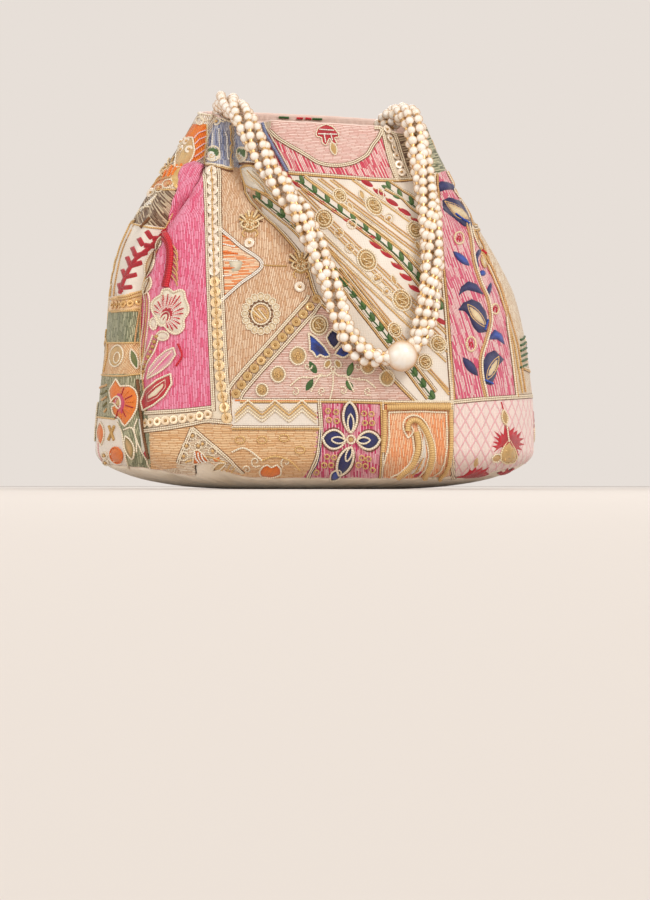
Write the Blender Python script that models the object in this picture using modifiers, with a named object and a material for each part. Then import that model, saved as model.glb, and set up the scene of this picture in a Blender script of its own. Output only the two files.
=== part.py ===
# Potli bag: a soft, gathered patchwork pouch that stands on a satin base and is
# carried by one twisted rope of pearls.
# X runs across the front, the front faces -Y, and the base stands on z = 0. Metres.

import math

import bmesh
import bpy
import numpy as np
from mathutils import Vector

# The body. Half sizes are taken at the five stations that the side runs through.
FLAT_HALF_WIDTH = 0.0400
FLAT_HALF_DEPTH = 0.0300
CORNER_HEIGHT = 0.0195
BELLY_HALF_WIDTH = 0.1090
BELLY_HALF_DEPTH = 0.0640
BELLY_TO_MIDDLE = 0.0655
MIDDLE_HALF_WIDTH = 0.1022
MIDDLE_HALF_DEPTH = 0.0590
MIDDLE_TO_SHOULDER = 0.0400
SHOULDER_HALF_WIDTH = 0.0900
SHOULDER_HALF_DEPTH = 0.0505
SHOULDER_TO_NECK = 0.0330
NECK_HALF_WIDTH = 0.0715
NECK_HALF_DEPTH = 0.0415
NECK_TO_RIM = 0.0265
RIM_HALF_WIDTH = 0.0575
RIM_HALF_DEPTH = 0.0340
BELLY_SQUARENESS = 2.6
RIM_SQUARENESS = 2.2

# The bag has slumped a little to the left, and its rim dips at the front and right.
MIDDLE_SWAY = -0.0010
SHOULDER_SWAY = -0.0055
NECK_SWAY = -0.0040
RIM_SWAY = -0.0010
RIM_LEFT_RISE = 0.0034
RIM_BACK_RISE = 0.0058
# The rim also dips where the rope crosses it: angle, depth and width in degrees.
RIM_DIPS = ((-38.0, 0.0030, 12.0), (50.0, 0.0030, 13.0))

# Layers, from the outside in
SHELL_THICKNESS = 0.0016
BASE_PANEL_THICKNESS = 0.0015
BASE_BOARD_THICKNESS = 0.0018
LINING_THICKNESS = 0.0009
LINING_DROP = 0.0040
GAP = 0.0003
SEAM_GAP = 0.0006

# The seam between the patchwork and the satin base, as an angle up the bottom corner.
SEAM_ANGLE = 44.0
SEAM_SIDE_ANGLE = 28.0
SEAM_SIDE_POWER = 6
SEAM_CREASE_ANGLE = 31.0
SEAM_CREASE_AT = -25.0
SEAM_CREASE_WIDTH = 5.0
SEAM_LEFT_ANGLE = 12.0
SEAM_LEFT_AT = -52.0
SEAM_LEFT_WIDTH = 17.0
BOARD_EDGE_ANGLE = 38.0

# Metal eyelets of the gathering line
EYELET_HEIGHT = 0.1540
EYELET_FLANGE_RADIUS = 0.0072
EYELET_BORE_RADIUS = 0.0034
EYELET_WALL = 0.0007
EYELET_FLANGE_THICKNESS = 0.0010
FLANGE_EDGE_SHARE = 0.7
WASHER_THICKNESS = 0.0008
FLAT_MARGIN = 0.0008
FLAT_FADE = 0.0040
TRIM_MARGIN = 0.00005
TRIM_REACH = 0.0045
EYELET_ANGLES = {
    "left_front": -54.0,
    "left_side": -112.0,
    "left_back": -135.0,
    "back_left": -157.0,
    "back_right": 157.0,
    "right_back": 135.0,
    "right_side": 112.0,
}

# The rope of pearls, its big middle pearl and the two tabs that hold its ends
ROPE_DIAMETER = 0.0130
ROPE_STEP = 0.0104
PEARL_DIAMETER = 0.0150
PEARL_PLACE = (0.0417, -0.0677, 0.0636)
TAB_HALF_ANGLE = 9.0
TAB_TOP_DROP = 0.0165
TAB_LENGTH = 0.0200
TAB_THICKNESS = 0.0014
TAB_CLEARANCE = 0.0009

# How finely the curved walls are divided
COLUMNS = 96
SHELL_ROWS = 14
PANEL_ROWS = 4
LINING_COLUMNS = 48
LINING_ROWS = 9
TAB_STEPS = 5
ROUND_STEPS = 16
MERGE_WITHIN = 0.0001
PEARL_RINGS = 10
ROUTE_STEPS = 24
# Where rows cross the bottom corner, as shares of the turn of the board's edge and the lining
BOARD_TURNS = (0.0, 0.5, 1.0)
LINING_TURNS = (0.0, 0.4, 0.7)
# A small step in radians and in run, for taking slopes
SLOPE_STEP = 0.01

RIM_HEIGHT = CORNER_HEIGHT + BELLY_TO_MIDDLE + MIDDLE_TO_SHOULDER + SHOULDER_TO_NECK + NECK_TO_RIM

# Folds of the gathered cloth. Each runs down the wall through places given by height below
# the rim, angle round the bag in degrees (0 is the front, 90 the right side), depth into
# the bag and width. A depth under zero is a lobe that swells out.
FOLDS = {
    "left_tuck": (
        (0.000, -61, 0.0050, 0.0036), (0.020, -50, 0.0080, 0.0042), (0.040, -46, 0.0090, 0.0050),
        (0.055, -49, 0.0080, 0.0052), (0.085, -55, 0.0060, 0.0048), (0.111, -52, 0.0048, 0.0045),
        (0.141, -47, 0.0036, 0.0045), (0.175, -46, 0.0024, 0.0045),
    ),
    "front_drape": (
        (0.000, -42, 0.0050, 0.0032), (0.020, -29, 0.0068, 0.0036), (0.035, -20, 0.0062, 0.0044),
        (0.048, -11, 0.0048, 0.0052), (0.058, -4, 0.0034, 0.0060), (0.075, 0, 0.0014, 0.0065),
        (0.095, 2, 0.0000, 0.0065),
    ),
    "front_pinch": (
        (0.000, -23, 0.0036, 0.0030), (0.020, -15, 0.0028, 0.0032), (0.035, -12, 0.0012, 0.0035),
        (0.050, -10, 0.0000, 0.0035),
    ),
    "right_pinch": (
        (0.000, 43, 0.0034, 0.0032), (0.020, 40, 0.0038, 0.0036), (0.035, 38, 0.0024, 0.0042),
        (0.055, 36, 0.0000, 0.0045),
    ),
    "right_tuck": (
        (0.000, 60, 0.0046, 0.0034), (0.020, 57, 0.0058, 0.0040), (0.035, 58, 0.0050, 0.0046),
        (0.060, 60, 0.0000, 0.0050),
    ),
    "right_side_tuck": (
        (0.030, 84, 0.0000, 0.0050), (0.050, 80, 0.0050, 0.0050), (0.070, 72, 0.0056, 0.0048),
        (0.088, 71, 0.0034, 0.0050), (0.110, 72, 0.0000, 0.0055),
    ),
    "left_side_tuck": (
        (0.000, -88, 0.0040, 0.0034), (0.025, -84, 0.0046, 0.0040), (0.050, -80, 0.0030, 0.0050),
        (0.080, -78, 0.0000, 0.0050),
    ),
    "right_side_gather": (
        (0.000, 90, 0.0040, 0.0034), (0.030, 92, 0.0044, 0.0040), (0.055, 96, 0.0022, 0.0050),
        (0.080, 98, 0.0000, 0.0050),
    ),
    "back_left_tuck": (
        (0.000, -120, 0.0048, 0.0036), (0.025, -126, 0.0072, 0.0042), (0.050, -129, 0.0064, 0.0050),
        (0.090, -131, 0.0042, 0.0050), (0.140, -134, 0.0024, 0.0048), (0.175, -134, 0.0012, 0.0045),
    ),
    "back_left_pinch": (
        (0.000, -141, 0.0046, 0.0034), (0.025, -151, 0.0058, 0.0042), (0.050, -160, 0.0036, 0.0055),
        (0.080, -166, 0.0000, 0.0060),
    ),
    "back_right_pinch": (
        (0.000, 141, 0.0046, 0.0034), (0.025, 151, 0.0058, 0.0042), (0.050, 158, 0.0036, 0.0055),
        (0.085, 164, 0.0000, 0.0060),
    ),
    "back_right_tuck": (
        (0.000, 120, 0.0048, 0.0036), (0.025, 126, 0.0072, 0.0042), (0.050, 128, 0.0060, 0.0050),
        (0.090, 129, 0.0040, 0.0050), (0.140, 131, 0.0022, 0.0048), (0.175, 132, 0.0010, 0.0045),
    ),
    "base_crease": (
        (0.140, -25, 0.0000, 0.0070), (0.160, -25, 0.0022, 0.0060), (0.180, -25, 0.0030, 0.0060),
    ),
    "left_lobe": (
        (0.000, -50, 0.0000, 0.0050), (0.025, -38, -0.0022, 0.0060), (0.060, -40, -0.0026, 0.0100),
        (0.100, -40, 0.0000, 0.0100),
    ),
    "right_lobe": (
        (0.055, 90, 0.0000, 0.0120), (0.085, 88, -0.0018, 0.0140), (0.130, 88, 0.0000, 0.0140),
    ),
}

# The rope's route, from inside the mouth at the left, over the rim, down the front to the
# big pearl, and from the pearl up and over the rim at the right.
LEFT_ROUTE = (
    (-0.0570, 0.0015, 0.1540), (-0.0524, 0.0005, 0.1625), (-0.0477, -0.0015, 0.1720),
    (-0.0438, -0.0036, 0.1805), (-0.0450, -0.0083, 0.1888), (-0.0440, -0.0148, 0.1914),
    (-0.0413, -0.0220, 0.1886), (-0.0380, -0.0304, 0.1854), (-0.0343, -0.0375, 0.1798),
    (-0.0295, -0.0420, 0.1698), (-0.0256, -0.0446, 0.1621), (-0.0213, -0.0483, 0.1544),
    (-0.0163, -0.0516, 0.1467), (-0.0112, -0.0541, 0.1392), (-0.0066, -0.0561, 0.1322),
    (-0.0030, -0.0579, 0.1249), (0.0000, -0.0595, 0.1170), (0.0028, -0.0611, 0.1091),
    (0.0060, -0.0631, 0.1010), (0.0091, -0.0648, 0.0925), (0.0120, -0.0664, 0.0843),
    (0.0147, -0.0675, 0.0764), (0.0184, -0.0682, 0.0699), (0.0234, -0.0684, 0.0653),
    (0.0286, -0.0684, 0.0630), (0.0339, -0.0681, 0.0628),
)
RIGHT_ROUTE = (
    (0.0478, -0.0655, 0.0689), (0.0504, -0.0645, 0.0724), (0.0523, -0.0628, 0.0776),
    (0.0538, -0.0612, 0.0842), (0.0548, -0.0594, 0.0912), (0.0556, -0.0574, 0.0983),
    (0.0562, -0.0551, 0.1058), (0.0566, -0.0526, 0.1133), (0.0566, -0.0500, 0.1208),
    (0.0559, -0.0471, 0.1301), (0.0547, -0.0430, 0.1404), (0.0533, -0.0377, 0.1507),
    (0.0518, -0.0337, 0.1610), (0.0500, -0.0315, 0.1695), (0.0490, -0.0300, 0.1755),
    (0.0478, -0.0270, 0.1805), (0.0455, -0.0222, 0.1838), (0.0420, -0.0160, 0.1848),
    (0.0380, -0.0100, 0.1835), (0.0347, -0.0050, 0.1800), (0.0335, -0.0010, 0.1745),
    (0.0352, 0.0012, 0.1682), (0.0395, 0.0018, 0.1620), (0.0450, 0.0015, 0.1565),
    (0.0503, 0.0010, 0.1515),
)


def spline(places, values):
    """A smooth curve through the values, level at the first place."""
    x, y = np.array(places, float), np.array(values, float)
    step = np.diff(x)
    slope = np.diff(y) / step
    n = len(x)
    matrix = np.zeros((n, n))
    right = np.zeros(n)
    matrix[0, 0], right[0] = 1.0, 0.0
    for i in range(1, n - 1):
        matrix[i, i - 1 : i + 2] = 1 / step[i - 1], 2 * (1 / step[i - 1] + 1 / step[i]), 1 / step[i]
        right[i] = 3 * (slope[i - 1] / step[i - 1] + slope[i] / step[i])
    matrix[-1, -2:] = 1.0, 2.0
    right[-1] = 3 * slope[-1]
    tangent = np.linalg.solve(matrix, right)

    def curve(at):
        at = np.clip(at, x[0], x[-1])
        i = np.clip(np.searchsorted(x, at, side="right") - 1, 0, n - 2)
        t = (at - x[i]) / step[i]
        near = (1 + 2 * t) * (1 - t) ** 2 * y[i] + t * (1 - t) ** 2 * step[i] * tangent[i]
        far = t * t * (3 - 2 * t) * y[i + 1] + t * t * (t - 1) * step[i] * tangent[i + 1]
        return near + far

    return curve


STATIONS = np.cumsum((CORNER_HEIGHT, BELLY_TO_MIDDLE, MIDDLE_TO_SHOULDER, SHOULDER_TO_NECK, NECK_TO_RIM))
HALF_WIDTH = spline(
    STATIONS, (BELLY_HALF_WIDTH, MIDDLE_HALF_WIDTH, SHOULDER_HALF_WIDTH, NECK_HALF_WIDTH, RIM_HALF_WIDTH)
)
HALF_DEPTH = spline(
    STATIONS, (BELLY_HALF_DEPTH, MIDDLE_HALF_DEPTH, SHOULDER_HALF_DEPTH, NECK_HALF_DEPTH, RIM_HALF_DEPTH)
)
SWAY = spline(STATIONS, (0.0, MIDDLE_SWAY, SHOULDER_SWAY, NECK_SWAY, RIM_SWAY))

# A place on the bag's skin is an angle round it and a run up it: 0 to 1 crosses the flat
# bottom from its middle, 1 to 2 turns the bottom corner, and 2 to 3 climbs to the rim.
FLAT_EDGE, CORNER_TOP, RIM = 1.0, 2.0, 3.0
# The folds fade out over this much of the turn of the bottom corner.
FOLD_FADE = 0.5


def eased(value):
    value = np.clip(value, 0.0, 1.0)
    return value * value * (3 - 2 * value)


def bump(angle, at, wide):
    """A smooth bump of 1 round the bag, at an angle and with a width in degrees."""
    away = (np.degrees(angle) - at + 180) % 360 - 180
    return np.exp(-((away / wide) ** 2))


def height_of(run):
    turn = np.clip(run - FLAT_EDGE, 0, 1) * math.pi / 2
    climb = np.clip(run - CORNER_TOP, 0, 1)
    return CORNER_HEIGHT * (1 - np.cos(turn)) + climb * (RIM_HEIGHT - CORNER_HEIGHT)


def run_at(height):
    """The run up the wall at a height over the bottom corner."""
    return CORNER_TOP + (height - CORNER_HEIGHT) / (RIM_HEIGHT - CORNER_HEIGHT)


def smooth_skin(angle, run):
    """The skin without its folds."""
    turn = np.sin(np.clip(run - FLAT_EDGE, 0, 1) * math.pi / 2)
    level = height_of(run)
    width = FLAT_HALF_WIDTH + (BELLY_HALF_WIDTH - FLAT_HALF_WIDTH) * turn
    depth = FLAT_HALF_DEPTH + (BELLY_HALF_DEPTH - FLAT_HALF_DEPTH) * turn
    width = np.where(run > CORNER_TOP, HALF_WIDTH(level), width) * np.clip(run, 0, 1)
    depth = np.where(run > CORNER_TOP, HALF_DEPTH(level), depth) * np.clip(run, 0, 1)
    climb = np.clip(run - CORNER_TOP, 0, 1)
    power = 2 / (BELLY_SQUARENESS + (RIM_SQUARENESS - BELLY_SQUARENESS) * climb)
    across, along = np.sin(angle), -np.cos(angle)
    x = np.where(run > CORNER_TOP, SWAY(level), 0.0) + width * np.sign(across) * np.abs(across) ** power
    y = depth * np.sign(along) * np.abs(along) ** power
    rise = RIM_LEFT_RISE * -across + RIM_BACK_RISE * along
    for at, deep, wide in RIM_DIPS:
        rise = rise - deep * bump(angle, at, wide)
    shoulder = STATIONS[2]
    z = level + rise * eased((level - shoulder) / (RIM_HEIGHT - shoulder))
    return np.stack(np.broadcast_arrays(x, y, z), axis=-1)


def skin_frame(angle, run):
    """The outward normal of the smooth skin, its level outward direction, and metres per radian."""
    round_it = smooth_skin(angle + SLOPE_STEP, run) - smooth_skin(angle - SLOPE_STEP, run)
    up_it = smooth_skin(angle, run + SLOPE_STEP) - smooth_skin(angle, run - SLOPE_STEP)
    normal = np.cross(round_it, up_it)
    normal /= np.maximum(np.linalg.norm(normal, axis=-1, keepdims=True), 1e-12)
    level = np.stack((round_it[..., 1], -round_it[..., 0], 0 * round_it[..., 0]), axis=-1)
    length = np.maximum(np.linalg.norm(level, axis=-1), 1e-12)
    return normal, level / length[..., None], length / (2 * SLOPE_STEP)


def fold_shift(angle, run):
    """How far the folds move the skin outward, in metres."""
    scale = skin_frame(angle, run)[2]
    below = RIM_HEIGHT - height_of(run)
    shift = np.zeros(np.broadcast(angle, run).shape)
    for places in FOLDS.values():
        down, at, deep, wide = (np.array(column, float) for column in zip(*places))
        centre = np.radians(np.interp(below, down, at))
        away = (angle - centre + math.pi) % (2 * math.pi) - math.pi
        depth = np.interp(below, down, deep, left=0.0, right=deep[-1])
        shift -= depth * np.exp(-((away * scale / np.interp(below, down, wide)) ** 2))
    return shift * eased((run - FLAT_EDGE) / FOLD_FADE)


def tightest_shift(angle, run, reach):
    """The innermost fold shift within reach of each place, for a layer that must clear it."""
    scale = skin_frame(angle, run)[2]
    step = reach / scale
    up = reach / (RIM_HEIGHT - CORNER_HEIGHT)
    near = [
        fold_shift(angle + across * step, np.clip(run + along * up, 0, RIM))
        for across in (-1, -0.67, -0.33, 0, 0.33, 0.67, 1)
        for along in (-1, 0, 1)
    ]
    return np.minimum(np.min(near, axis=0), 0.0)


def seam_run(angle):
    """Where the patchwork ends and the satin base begins."""
    turn = SEAM_ANGLE + SEAM_SIDE_ANGLE * np.abs(np.sin(angle)) ** SEAM_SIDE_POWER
    turn = turn + SEAM_CREASE_ANGLE * bump(angle, SEAM_CREASE_AT, SEAM_CREASE_WIDTH)
    turn = turn + SEAM_LEFT_ANGLE * bump(angle, SEAM_LEFT_AT, SEAM_LEFT_WIDTH)
    return FLAT_EDGE + turn / 90


def eyelet_spots():
    """Each eyelet's name, centre on the cloth's outer face and outward axis."""
    spots = {}
    for name, degrees in EYELET_ANGLES.items():
        angle, run = np.array(math.radians(degrees)), np.array(run_at(EYELET_HEIGHT))
        _, level, scale = skin_frame(angle, run)
        reach = EYELET_FLANGE_RADIUS / scale
        sides = [
            smooth_skin(angle + side * reach, run) + level * fold_shift(angle + side * reach, run)
            for side in (-1, 0, 1)
        ]
        centre = (sides[0] + 2 * sides[1] + sides[2]) / 4
        up_it = smooth_skin(angle, run + SLOPE_STEP) - smooth_skin(angle, run - SLOPE_STEP)
        axis = np.cross(sides[2] - sides[0], up_it)
        axis /= np.linalg.norm(axis)
        spots[name] = (centre, axis)
    return spots


EYELET_SPOTS = eyelet_spots()


def press_flat(points, depth, both_ways):
    """Presses the cloth flat round each eyelet, at a depth behind its outer face."""
    inner = EYELET_FLANGE_RADIUS + FLAT_MARGIN
    for centre, axis in EYELET_SPOTS.values():
        proud = (points - centre) @ axis + depth
        beside = np.linalg.norm(points - centre - (proud - depth)[..., None] * axis, axis=-1)
        share = 1 - eased((beside - inner) / FLAT_FADE)
        share = np.where(np.abs(proud) < 2 * inner, share, 0.0)
        if not both_ways:
            share = np.where(proud > 0, share, 0.0)
        points = points - (share * proud)[..., None] * axis
    return points


def ring_angles(count):
    return np.arange(count) * 2 * math.pi / count - math.pi


def new_object(name, mesh, material, collection="bag"):
    made = bpy.data.objects.new(name, mesh)
    COLLECTIONS[collection].objects.link(made)
    if material:
        mesh.materials.append(MATERIALS[material])
    return made


def cloth_mesh(name, rows, pole=None, closed=True):
    """A mesh of rows of points, each a ring round the bag, with an optional pole at its start."""
    mesh = bpy.data.meshes.new(name)
    shape = bmesh.new()
    rings = [[shape.verts.new(point) for point in row] for row in rows]
    count = len(rings[0])
    for low, high in zip(rings, rings[1:]):
        for i in range(count if closed else count - 1):
            j = (i + 1) % count
            shape.faces.new((low[i], low[j], high[j], high[i]))
    if pole is not None:
        middle = shape.verts.new(pole)
        for i in range(count):
            shape.faces.new((middle, rings[0][(i + 1) % count], rings[0][i]))
    shape.to_mesh(mesh)
    shape.free()
    mesh.shade_smooth()
    return mesh


def thicken(made, thickness):
    """Gives an outward facing sheet its thickness, towards the inside of the bag."""
    solid = made.modifiers.new("thickness", "SOLIDIFY")
    solid.thickness = thickness
    solid.offset = -1.0
    solid.use_rim = True


def make_outer_shell():
    angles = ring_angles(COLUMNS)
    start = seam_run(angles)
    rows = []
    for row in range(SHELL_ROWS + 1):
        share = row / SHELL_ROWS
        run = start + (RIM - start) * share
        points = smooth_skin(angles, run) + skin_frame(angles, run)[1] * fold_shift(angles, run)[:, None]
        rows.append(press_flat(points, 0.0, both_ways=True))
    shell = new_object("outer_shell", cloth_mesh("outer_shell", rows), "embroidered_cloth")
    thicken(shell, SHELL_THICKNESS)
    for name, (centre, axis) in EYELET_SPOTS.items():
        cut = shell.modifiers.new(f"hole {name}", "BOOLEAN")
        cut.operation = "DIFFERENCE"
        # This solver leaves no sliver of cloth at the edges of the flanges.
        cut.solver = "MANIFOLD"
        cut.object = make_cutter(name, centre, axis)
    return shell


def make_cutter(name, centre, axis):
    """A spool that bores the eyelet's hole and trims the cloth flush under its flanges."""
    hole, wide = EYELET_BORE_RADIUS + EYELET_WALL + GAP, EYELET_FLANGE_RADIUS + 2 * GAP
    top, bottom = TRIM_MARGIN, -SHELL_THICKNESS - TRIM_MARGIN
    outline = (
        (0.0, TRIM_REACH), (wide, TRIM_REACH), (wide, top), (hole, top),
        (hole, bottom), (wide, bottom), (wide, -TRIM_REACH), (0.0, -TRIM_REACH),
    )
    cutter = make_turned(f"cut_{name}", outline, None, "cutters", closed=False)
    place_along(cutter, centre, axis)
    cutter.hide_render = True
    cutter.display_type = "WIRE"
    return cutter


def place_along(made, centre, axis):
    """Puts an object at a centre with its own Z along an axis."""
    made.location = Vector(centre)
    made.rotation_euler = Vector(axis).to_track_quat("Z", "Y").to_euler()


def make_base_panel():
    angles = ring_angles(COLUMNS)
    end = seam_run(angles) - SEAM_GAP / (CORNER_HEIGHT * math.pi / 2)
    runs = [np.full(COLUMNS, FLAT_EDGE)]
    runs += [FLAT_EDGE + (end - FLAT_EDGE) * row / PANEL_ROWS for row in range(1, PANEL_ROWS + 1)]
    rows = [
        smooth_skin(angles, run) + skin_frame(angles, run)[1] * fold_shift(angles, run)[:, None]
        for run in runs
    ]
    panel = new_object("base_panel", cloth_mesh("base_panel", rows, pole=(0, 0, 0)), "satin")
    thicken(panel, BASE_PANEL_THICKNESS)
    return panel


def make_base_board():
    angles = ring_angles(LINING_COLUMNS)
    inset = BASE_PANEL_THICKNESS + GAP
    reach = 2 * math.pi * BELLY_HALF_WIDTH / LINING_COLUMNS / 2
    rows = []
    for turn in BOARD_TURNS:
        run = np.full(LINING_COLUMNS, FLAT_EDGE + turn * BOARD_EDGE_ANGLE / 90)
        normal, level, _ = skin_frame(angles, run)
        shift = tightest_shift(angles, run, reach)
        rows.append(smooth_skin(angles, run) - normal * inset + level * shift[:, None])
    rows[0][:, 2] = inset
    board = new_object("base_board", cloth_mesh("base_board", rows, pole=(0, 0, inset)), "board")
    thicken(board, BASE_BOARD_THICKNESS)
    return board


def lining_points(angles, run, extra=0.0):
    """Places on the lining's outer face, clear of the shell, its folds and the eyelets' backs."""
    under = BASE_PANEL_THICKNESS + GAP + BASE_BOARD_THICKNESS + GAP
    reach = SHELL_THICKNESS + math.pi * BELLY_HALF_WIDTH / LINING_COLUMNS
    normal, level, _ = skin_frame(angles, run)
    points = smooth_skin(angles, run) - normal * under
    points = points + level * tightest_shift(angles, run, reach)[..., None]
    behind = SHELL_THICKNESS + WASHER_THICKNESS + 3 * GAP + FLAT_MARGIN
    points = press_flat(points, behind, both_ways=False)
    return points - normal * extra


def make_lining():
    angles = ring_angles(LINING_COLUMNS)
    top = RIM - LINING_DROP / (RIM_HEIGHT - CORNER_HEIGHT)
    runs = [FLAT_EDGE + turn for turn in LINING_TURNS]
    runs += [CORNER_TOP + (top - CORNER_TOP) * row / LINING_ROWS for row in range(LINING_ROWS + 1)]
    rows = [lining_points(angles, np.full(LINING_COLUMNS, run)) for run in runs]
    floor = float(rows[0][:, 2].mean())
    rows[0][:, 2] = floor
    lining = new_object("lining", cloth_mesh("lining", rows, pole=(0, 0, floor)), "lining_satin")
    thicken(lining, LINING_THICKNESS)
    return lining


def make_turned(name, outline, material, collection="bag", closed=True):
    """A piece turned round its own Z from an outline of radius and height."""
    mesh = bpy.data.meshes.new(name)
    shape = bmesh.new()
    corners = [shape.verts.new((radius, 0.0, level)) for radius, level in outline]
    for start, end in zip(corners, corners[1:] + corners[:1] if closed else corners[1:]):
        shape.edges.new((start, end))
    shape.to_mesh(mesh)
    shape.free()
    made = new_object(name, mesh, material, collection)
    turn = made.modifiers.new("turn", "SCREW")
    turn.steps = ROUND_STEPS
    turn.render_steps = ROUND_STEPS
    turn.use_merge_vertices = True
    turn.merge_threshold = MERGE_WITHIN
    turn.use_smooth_shade = True
    return made


def make_eyelet(name, centre, axis):
    """A flanged tube set through the cloth from outside, and the washer that closes it behind."""
    bore, tube = EYELET_BORE_RADIUS, EYELET_BORE_RADIUS + EYELET_WALL
    back = -SHELL_THICKNESS - WASHER_THICKNESS - 2 * GAP
    outline = (
        (EYELET_FLANGE_RADIUS, GAP),
        (tube, GAP),
        (tube, back),
        (bore, back),
        (bore, GAP + EYELET_FLANGE_THICKNESS * FLANGE_EDGE_SHARE),
        ((bore + EYELET_FLANGE_RADIUS) / 2, GAP + EYELET_FLANGE_THICKNESS),
    )
    eyelet = make_turned(f"eyelet_{name}", outline, "gold_metal")
    place_along(eyelet, centre, axis)
    inner, front = tube + GAP, -SHELL_THICKNESS - GAP
    outline = (
        (EYELET_FLANGE_RADIUS, front),
        (EYELET_FLANGE_RADIUS, front - WASHER_THICKNESS),
        (inner, front - WASHER_THICKNESS),
        (inner, front),
    )
    washer = make_turned(f"eyelet_washer_{name}", outline, "gold_metal")
    place_along(washer, centre, axis)


def make_tab(name, side):
    """A folded satin tab sewn to the lining, which holds one end of the rope."""
    middle = math.radians(90 * side)
    angles = middle + np.radians(np.linspace(-TAB_HALF_ANGLE, TAB_HALF_ANGLE, TAB_STEPS))
    high = RIM - TAB_TOP_DROP / (RIM_HEIGHT - CORNER_HEIGHT)
    low = high - TAB_LENGTH / (RIM_HEIGHT - CORNER_HEIGHT)
    inset = LINING_THICKNESS + TAB_CLEARANCE
    runs = np.linspace(low, high, TAB_STEPS)
    rows = [lining_points(angles, np.full(TAB_STEPS, run), inset) for run in runs]
    tab = new_object(name, cloth_mesh(name, rows, closed=False), "satin")
    thicken(tab, TAB_THICKNESS)
    return tab


def smooth_route(points, spacing):
    """Evenly spaced places on one smooth curve through a route's points."""
    places = [Vector(point) for point in points]
    places = [2 * places[0] - places[1]] + places + [2 * places[-1] - places[-2]]
    fine = []
    for before, start, end, after in zip(places, places[1:], places[2:], places[3:]):
        for i in range(ROUTE_STEPS):
            t = i / ROUTE_STEPS
            fine.append(
                0.5
                * (
                    2 * start
                    + (end - before) * t
                    + (2 * before - 5 * start + 4 * end - after) * t**2
                    + (3 * start - before - 3 * end + after) * t**3
                )
            )
    fine.append(places[-2])
    run = [0.0]
    for start, end in zip(fine, fine[1:]):
        run.append(run[-1] + (end - start).length)
    count = max(2, round(run[-1] / spacing))
    at = np.linspace(0, run[-1], count + 1)
    return np.stack([np.interp(at, run, [point[axis] for point in fine]) for axis in range(3)], axis=1)


def make_rope(name, route):
    data = bpy.data.curves.new(name, "CURVE")
    data.dimensions = "3D"
    data.bevel_depth = ROPE_DIAMETER / 2
    data.bevel_resolution = 2
    data.use_fill_caps = True
    points = smooth_route(route, ROPE_STEP)
    line = data.splines.new("POLY")
    line.points.add(len(points) - 1)
    for place, point in zip(line.points, points):
        place.co = (*point, 1.0)
    made = bpy.data.objects.new(name, data)
    COLLECTIONS["bag"].objects.link(made)
    data.materials.append(MATERIALS["pearl"])
    return made


def make_big_pearl():
    mesh = bpy.data.meshes.new("handle_pearl")
    shape = bmesh.new()
    radius = PEARL_DIAMETER / 2
    bmesh.ops.create_uvsphere(shape, u_segments=ROUND_STEPS, v_segments=PEARL_RINGS, radius=radius)
    shape.to_mesh(mesh)
    shape.free()
    mesh.shade_smooth()
    pearl = new_object("handle_pearl", mesh, "pearl")
    pearl.location = PEARL_PLACE
    return pearl


def make_material(name, colour, roughness, metallic=0.0):
    material = bpy.data.materials.new(name)
    material.use_nodes = True
    shader = material.node_tree.nodes["Principled BSDF"]
    shader.inputs["Base Color"].default_value = (*colour, 1.0)
    shader.inputs["Roughness"].default_value = roughness
    shader.inputs["Metallic"].default_value = metallic
    return material


for old in list(bpy.data.objects):
    bpy.data.objects.remove(old, do_unlink=True)

COLLECTIONS = {"bag": bpy.data.collections.new("potli_bag"), "cutters": bpy.data.collections.new("cutters")}
for group in COLLECTIONS.values():
    bpy.context.scene.collection.children.link(group)

MATERIALS = {
    "embroidered_cloth": make_material("embroidered_cloth", (0.80, 0.56, 0.42), 0.75),
    "satin": make_material("satin", (0.86, 0.79, 0.68), 0.45),
    "lining_satin": make_material("lining_satin", (0.82, 0.74, 0.64), 0.5),
    "board": make_material("board", (0.62, 0.56, 0.48), 0.85),
    "gold_metal": make_material("gold_metal", (0.83, 0.62, 0.28), 0.28, 1.0),
    "pearl": make_material("pearl", (0.93, 0.90, 0.84), 0.2),
}

make_outer_shell()
make_base_panel()
make_base_board()
make_lining()
for spot, (middle, outward) in EYELET_SPOTS.items():
    make_eyelet(spot, middle, outward)
make_tab("handle_tab_left", -1)
make_tab("handle_tab_right", 1)
make_rope("handle_rope_left", LEFT_ROUTE)
make_rope("handle_rope_right", RIGHT_ROUTE)
make_big_pearl()
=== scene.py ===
import math

import bmesh
import bpy
import numpy as np
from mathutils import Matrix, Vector
from mathutils.bvhtree import BVHTree
from mathutils.geometry import delaunay_2d_cdt


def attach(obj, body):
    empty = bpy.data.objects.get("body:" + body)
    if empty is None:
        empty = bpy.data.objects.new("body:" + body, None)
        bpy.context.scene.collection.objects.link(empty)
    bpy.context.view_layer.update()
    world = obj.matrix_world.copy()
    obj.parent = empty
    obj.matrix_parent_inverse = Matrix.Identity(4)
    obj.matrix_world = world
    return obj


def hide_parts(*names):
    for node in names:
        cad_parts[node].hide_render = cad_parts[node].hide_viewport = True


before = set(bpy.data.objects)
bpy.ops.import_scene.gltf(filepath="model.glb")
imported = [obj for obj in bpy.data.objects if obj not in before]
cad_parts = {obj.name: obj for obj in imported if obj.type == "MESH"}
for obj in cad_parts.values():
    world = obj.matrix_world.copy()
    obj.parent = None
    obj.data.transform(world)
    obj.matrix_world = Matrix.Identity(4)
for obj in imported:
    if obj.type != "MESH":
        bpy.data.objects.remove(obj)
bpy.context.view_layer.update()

scene = bpy.context.scene
tau = 2 * math.pi


def srgb(red, green, blue):  # 0 to 255, as a picture gives them
    return tuple(v / 12.92 if v <= 0.04045 else ((v + 0.055) / 1.055) ** 2.4 for v in (red / 255, green / 255, blue / 255))


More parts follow.
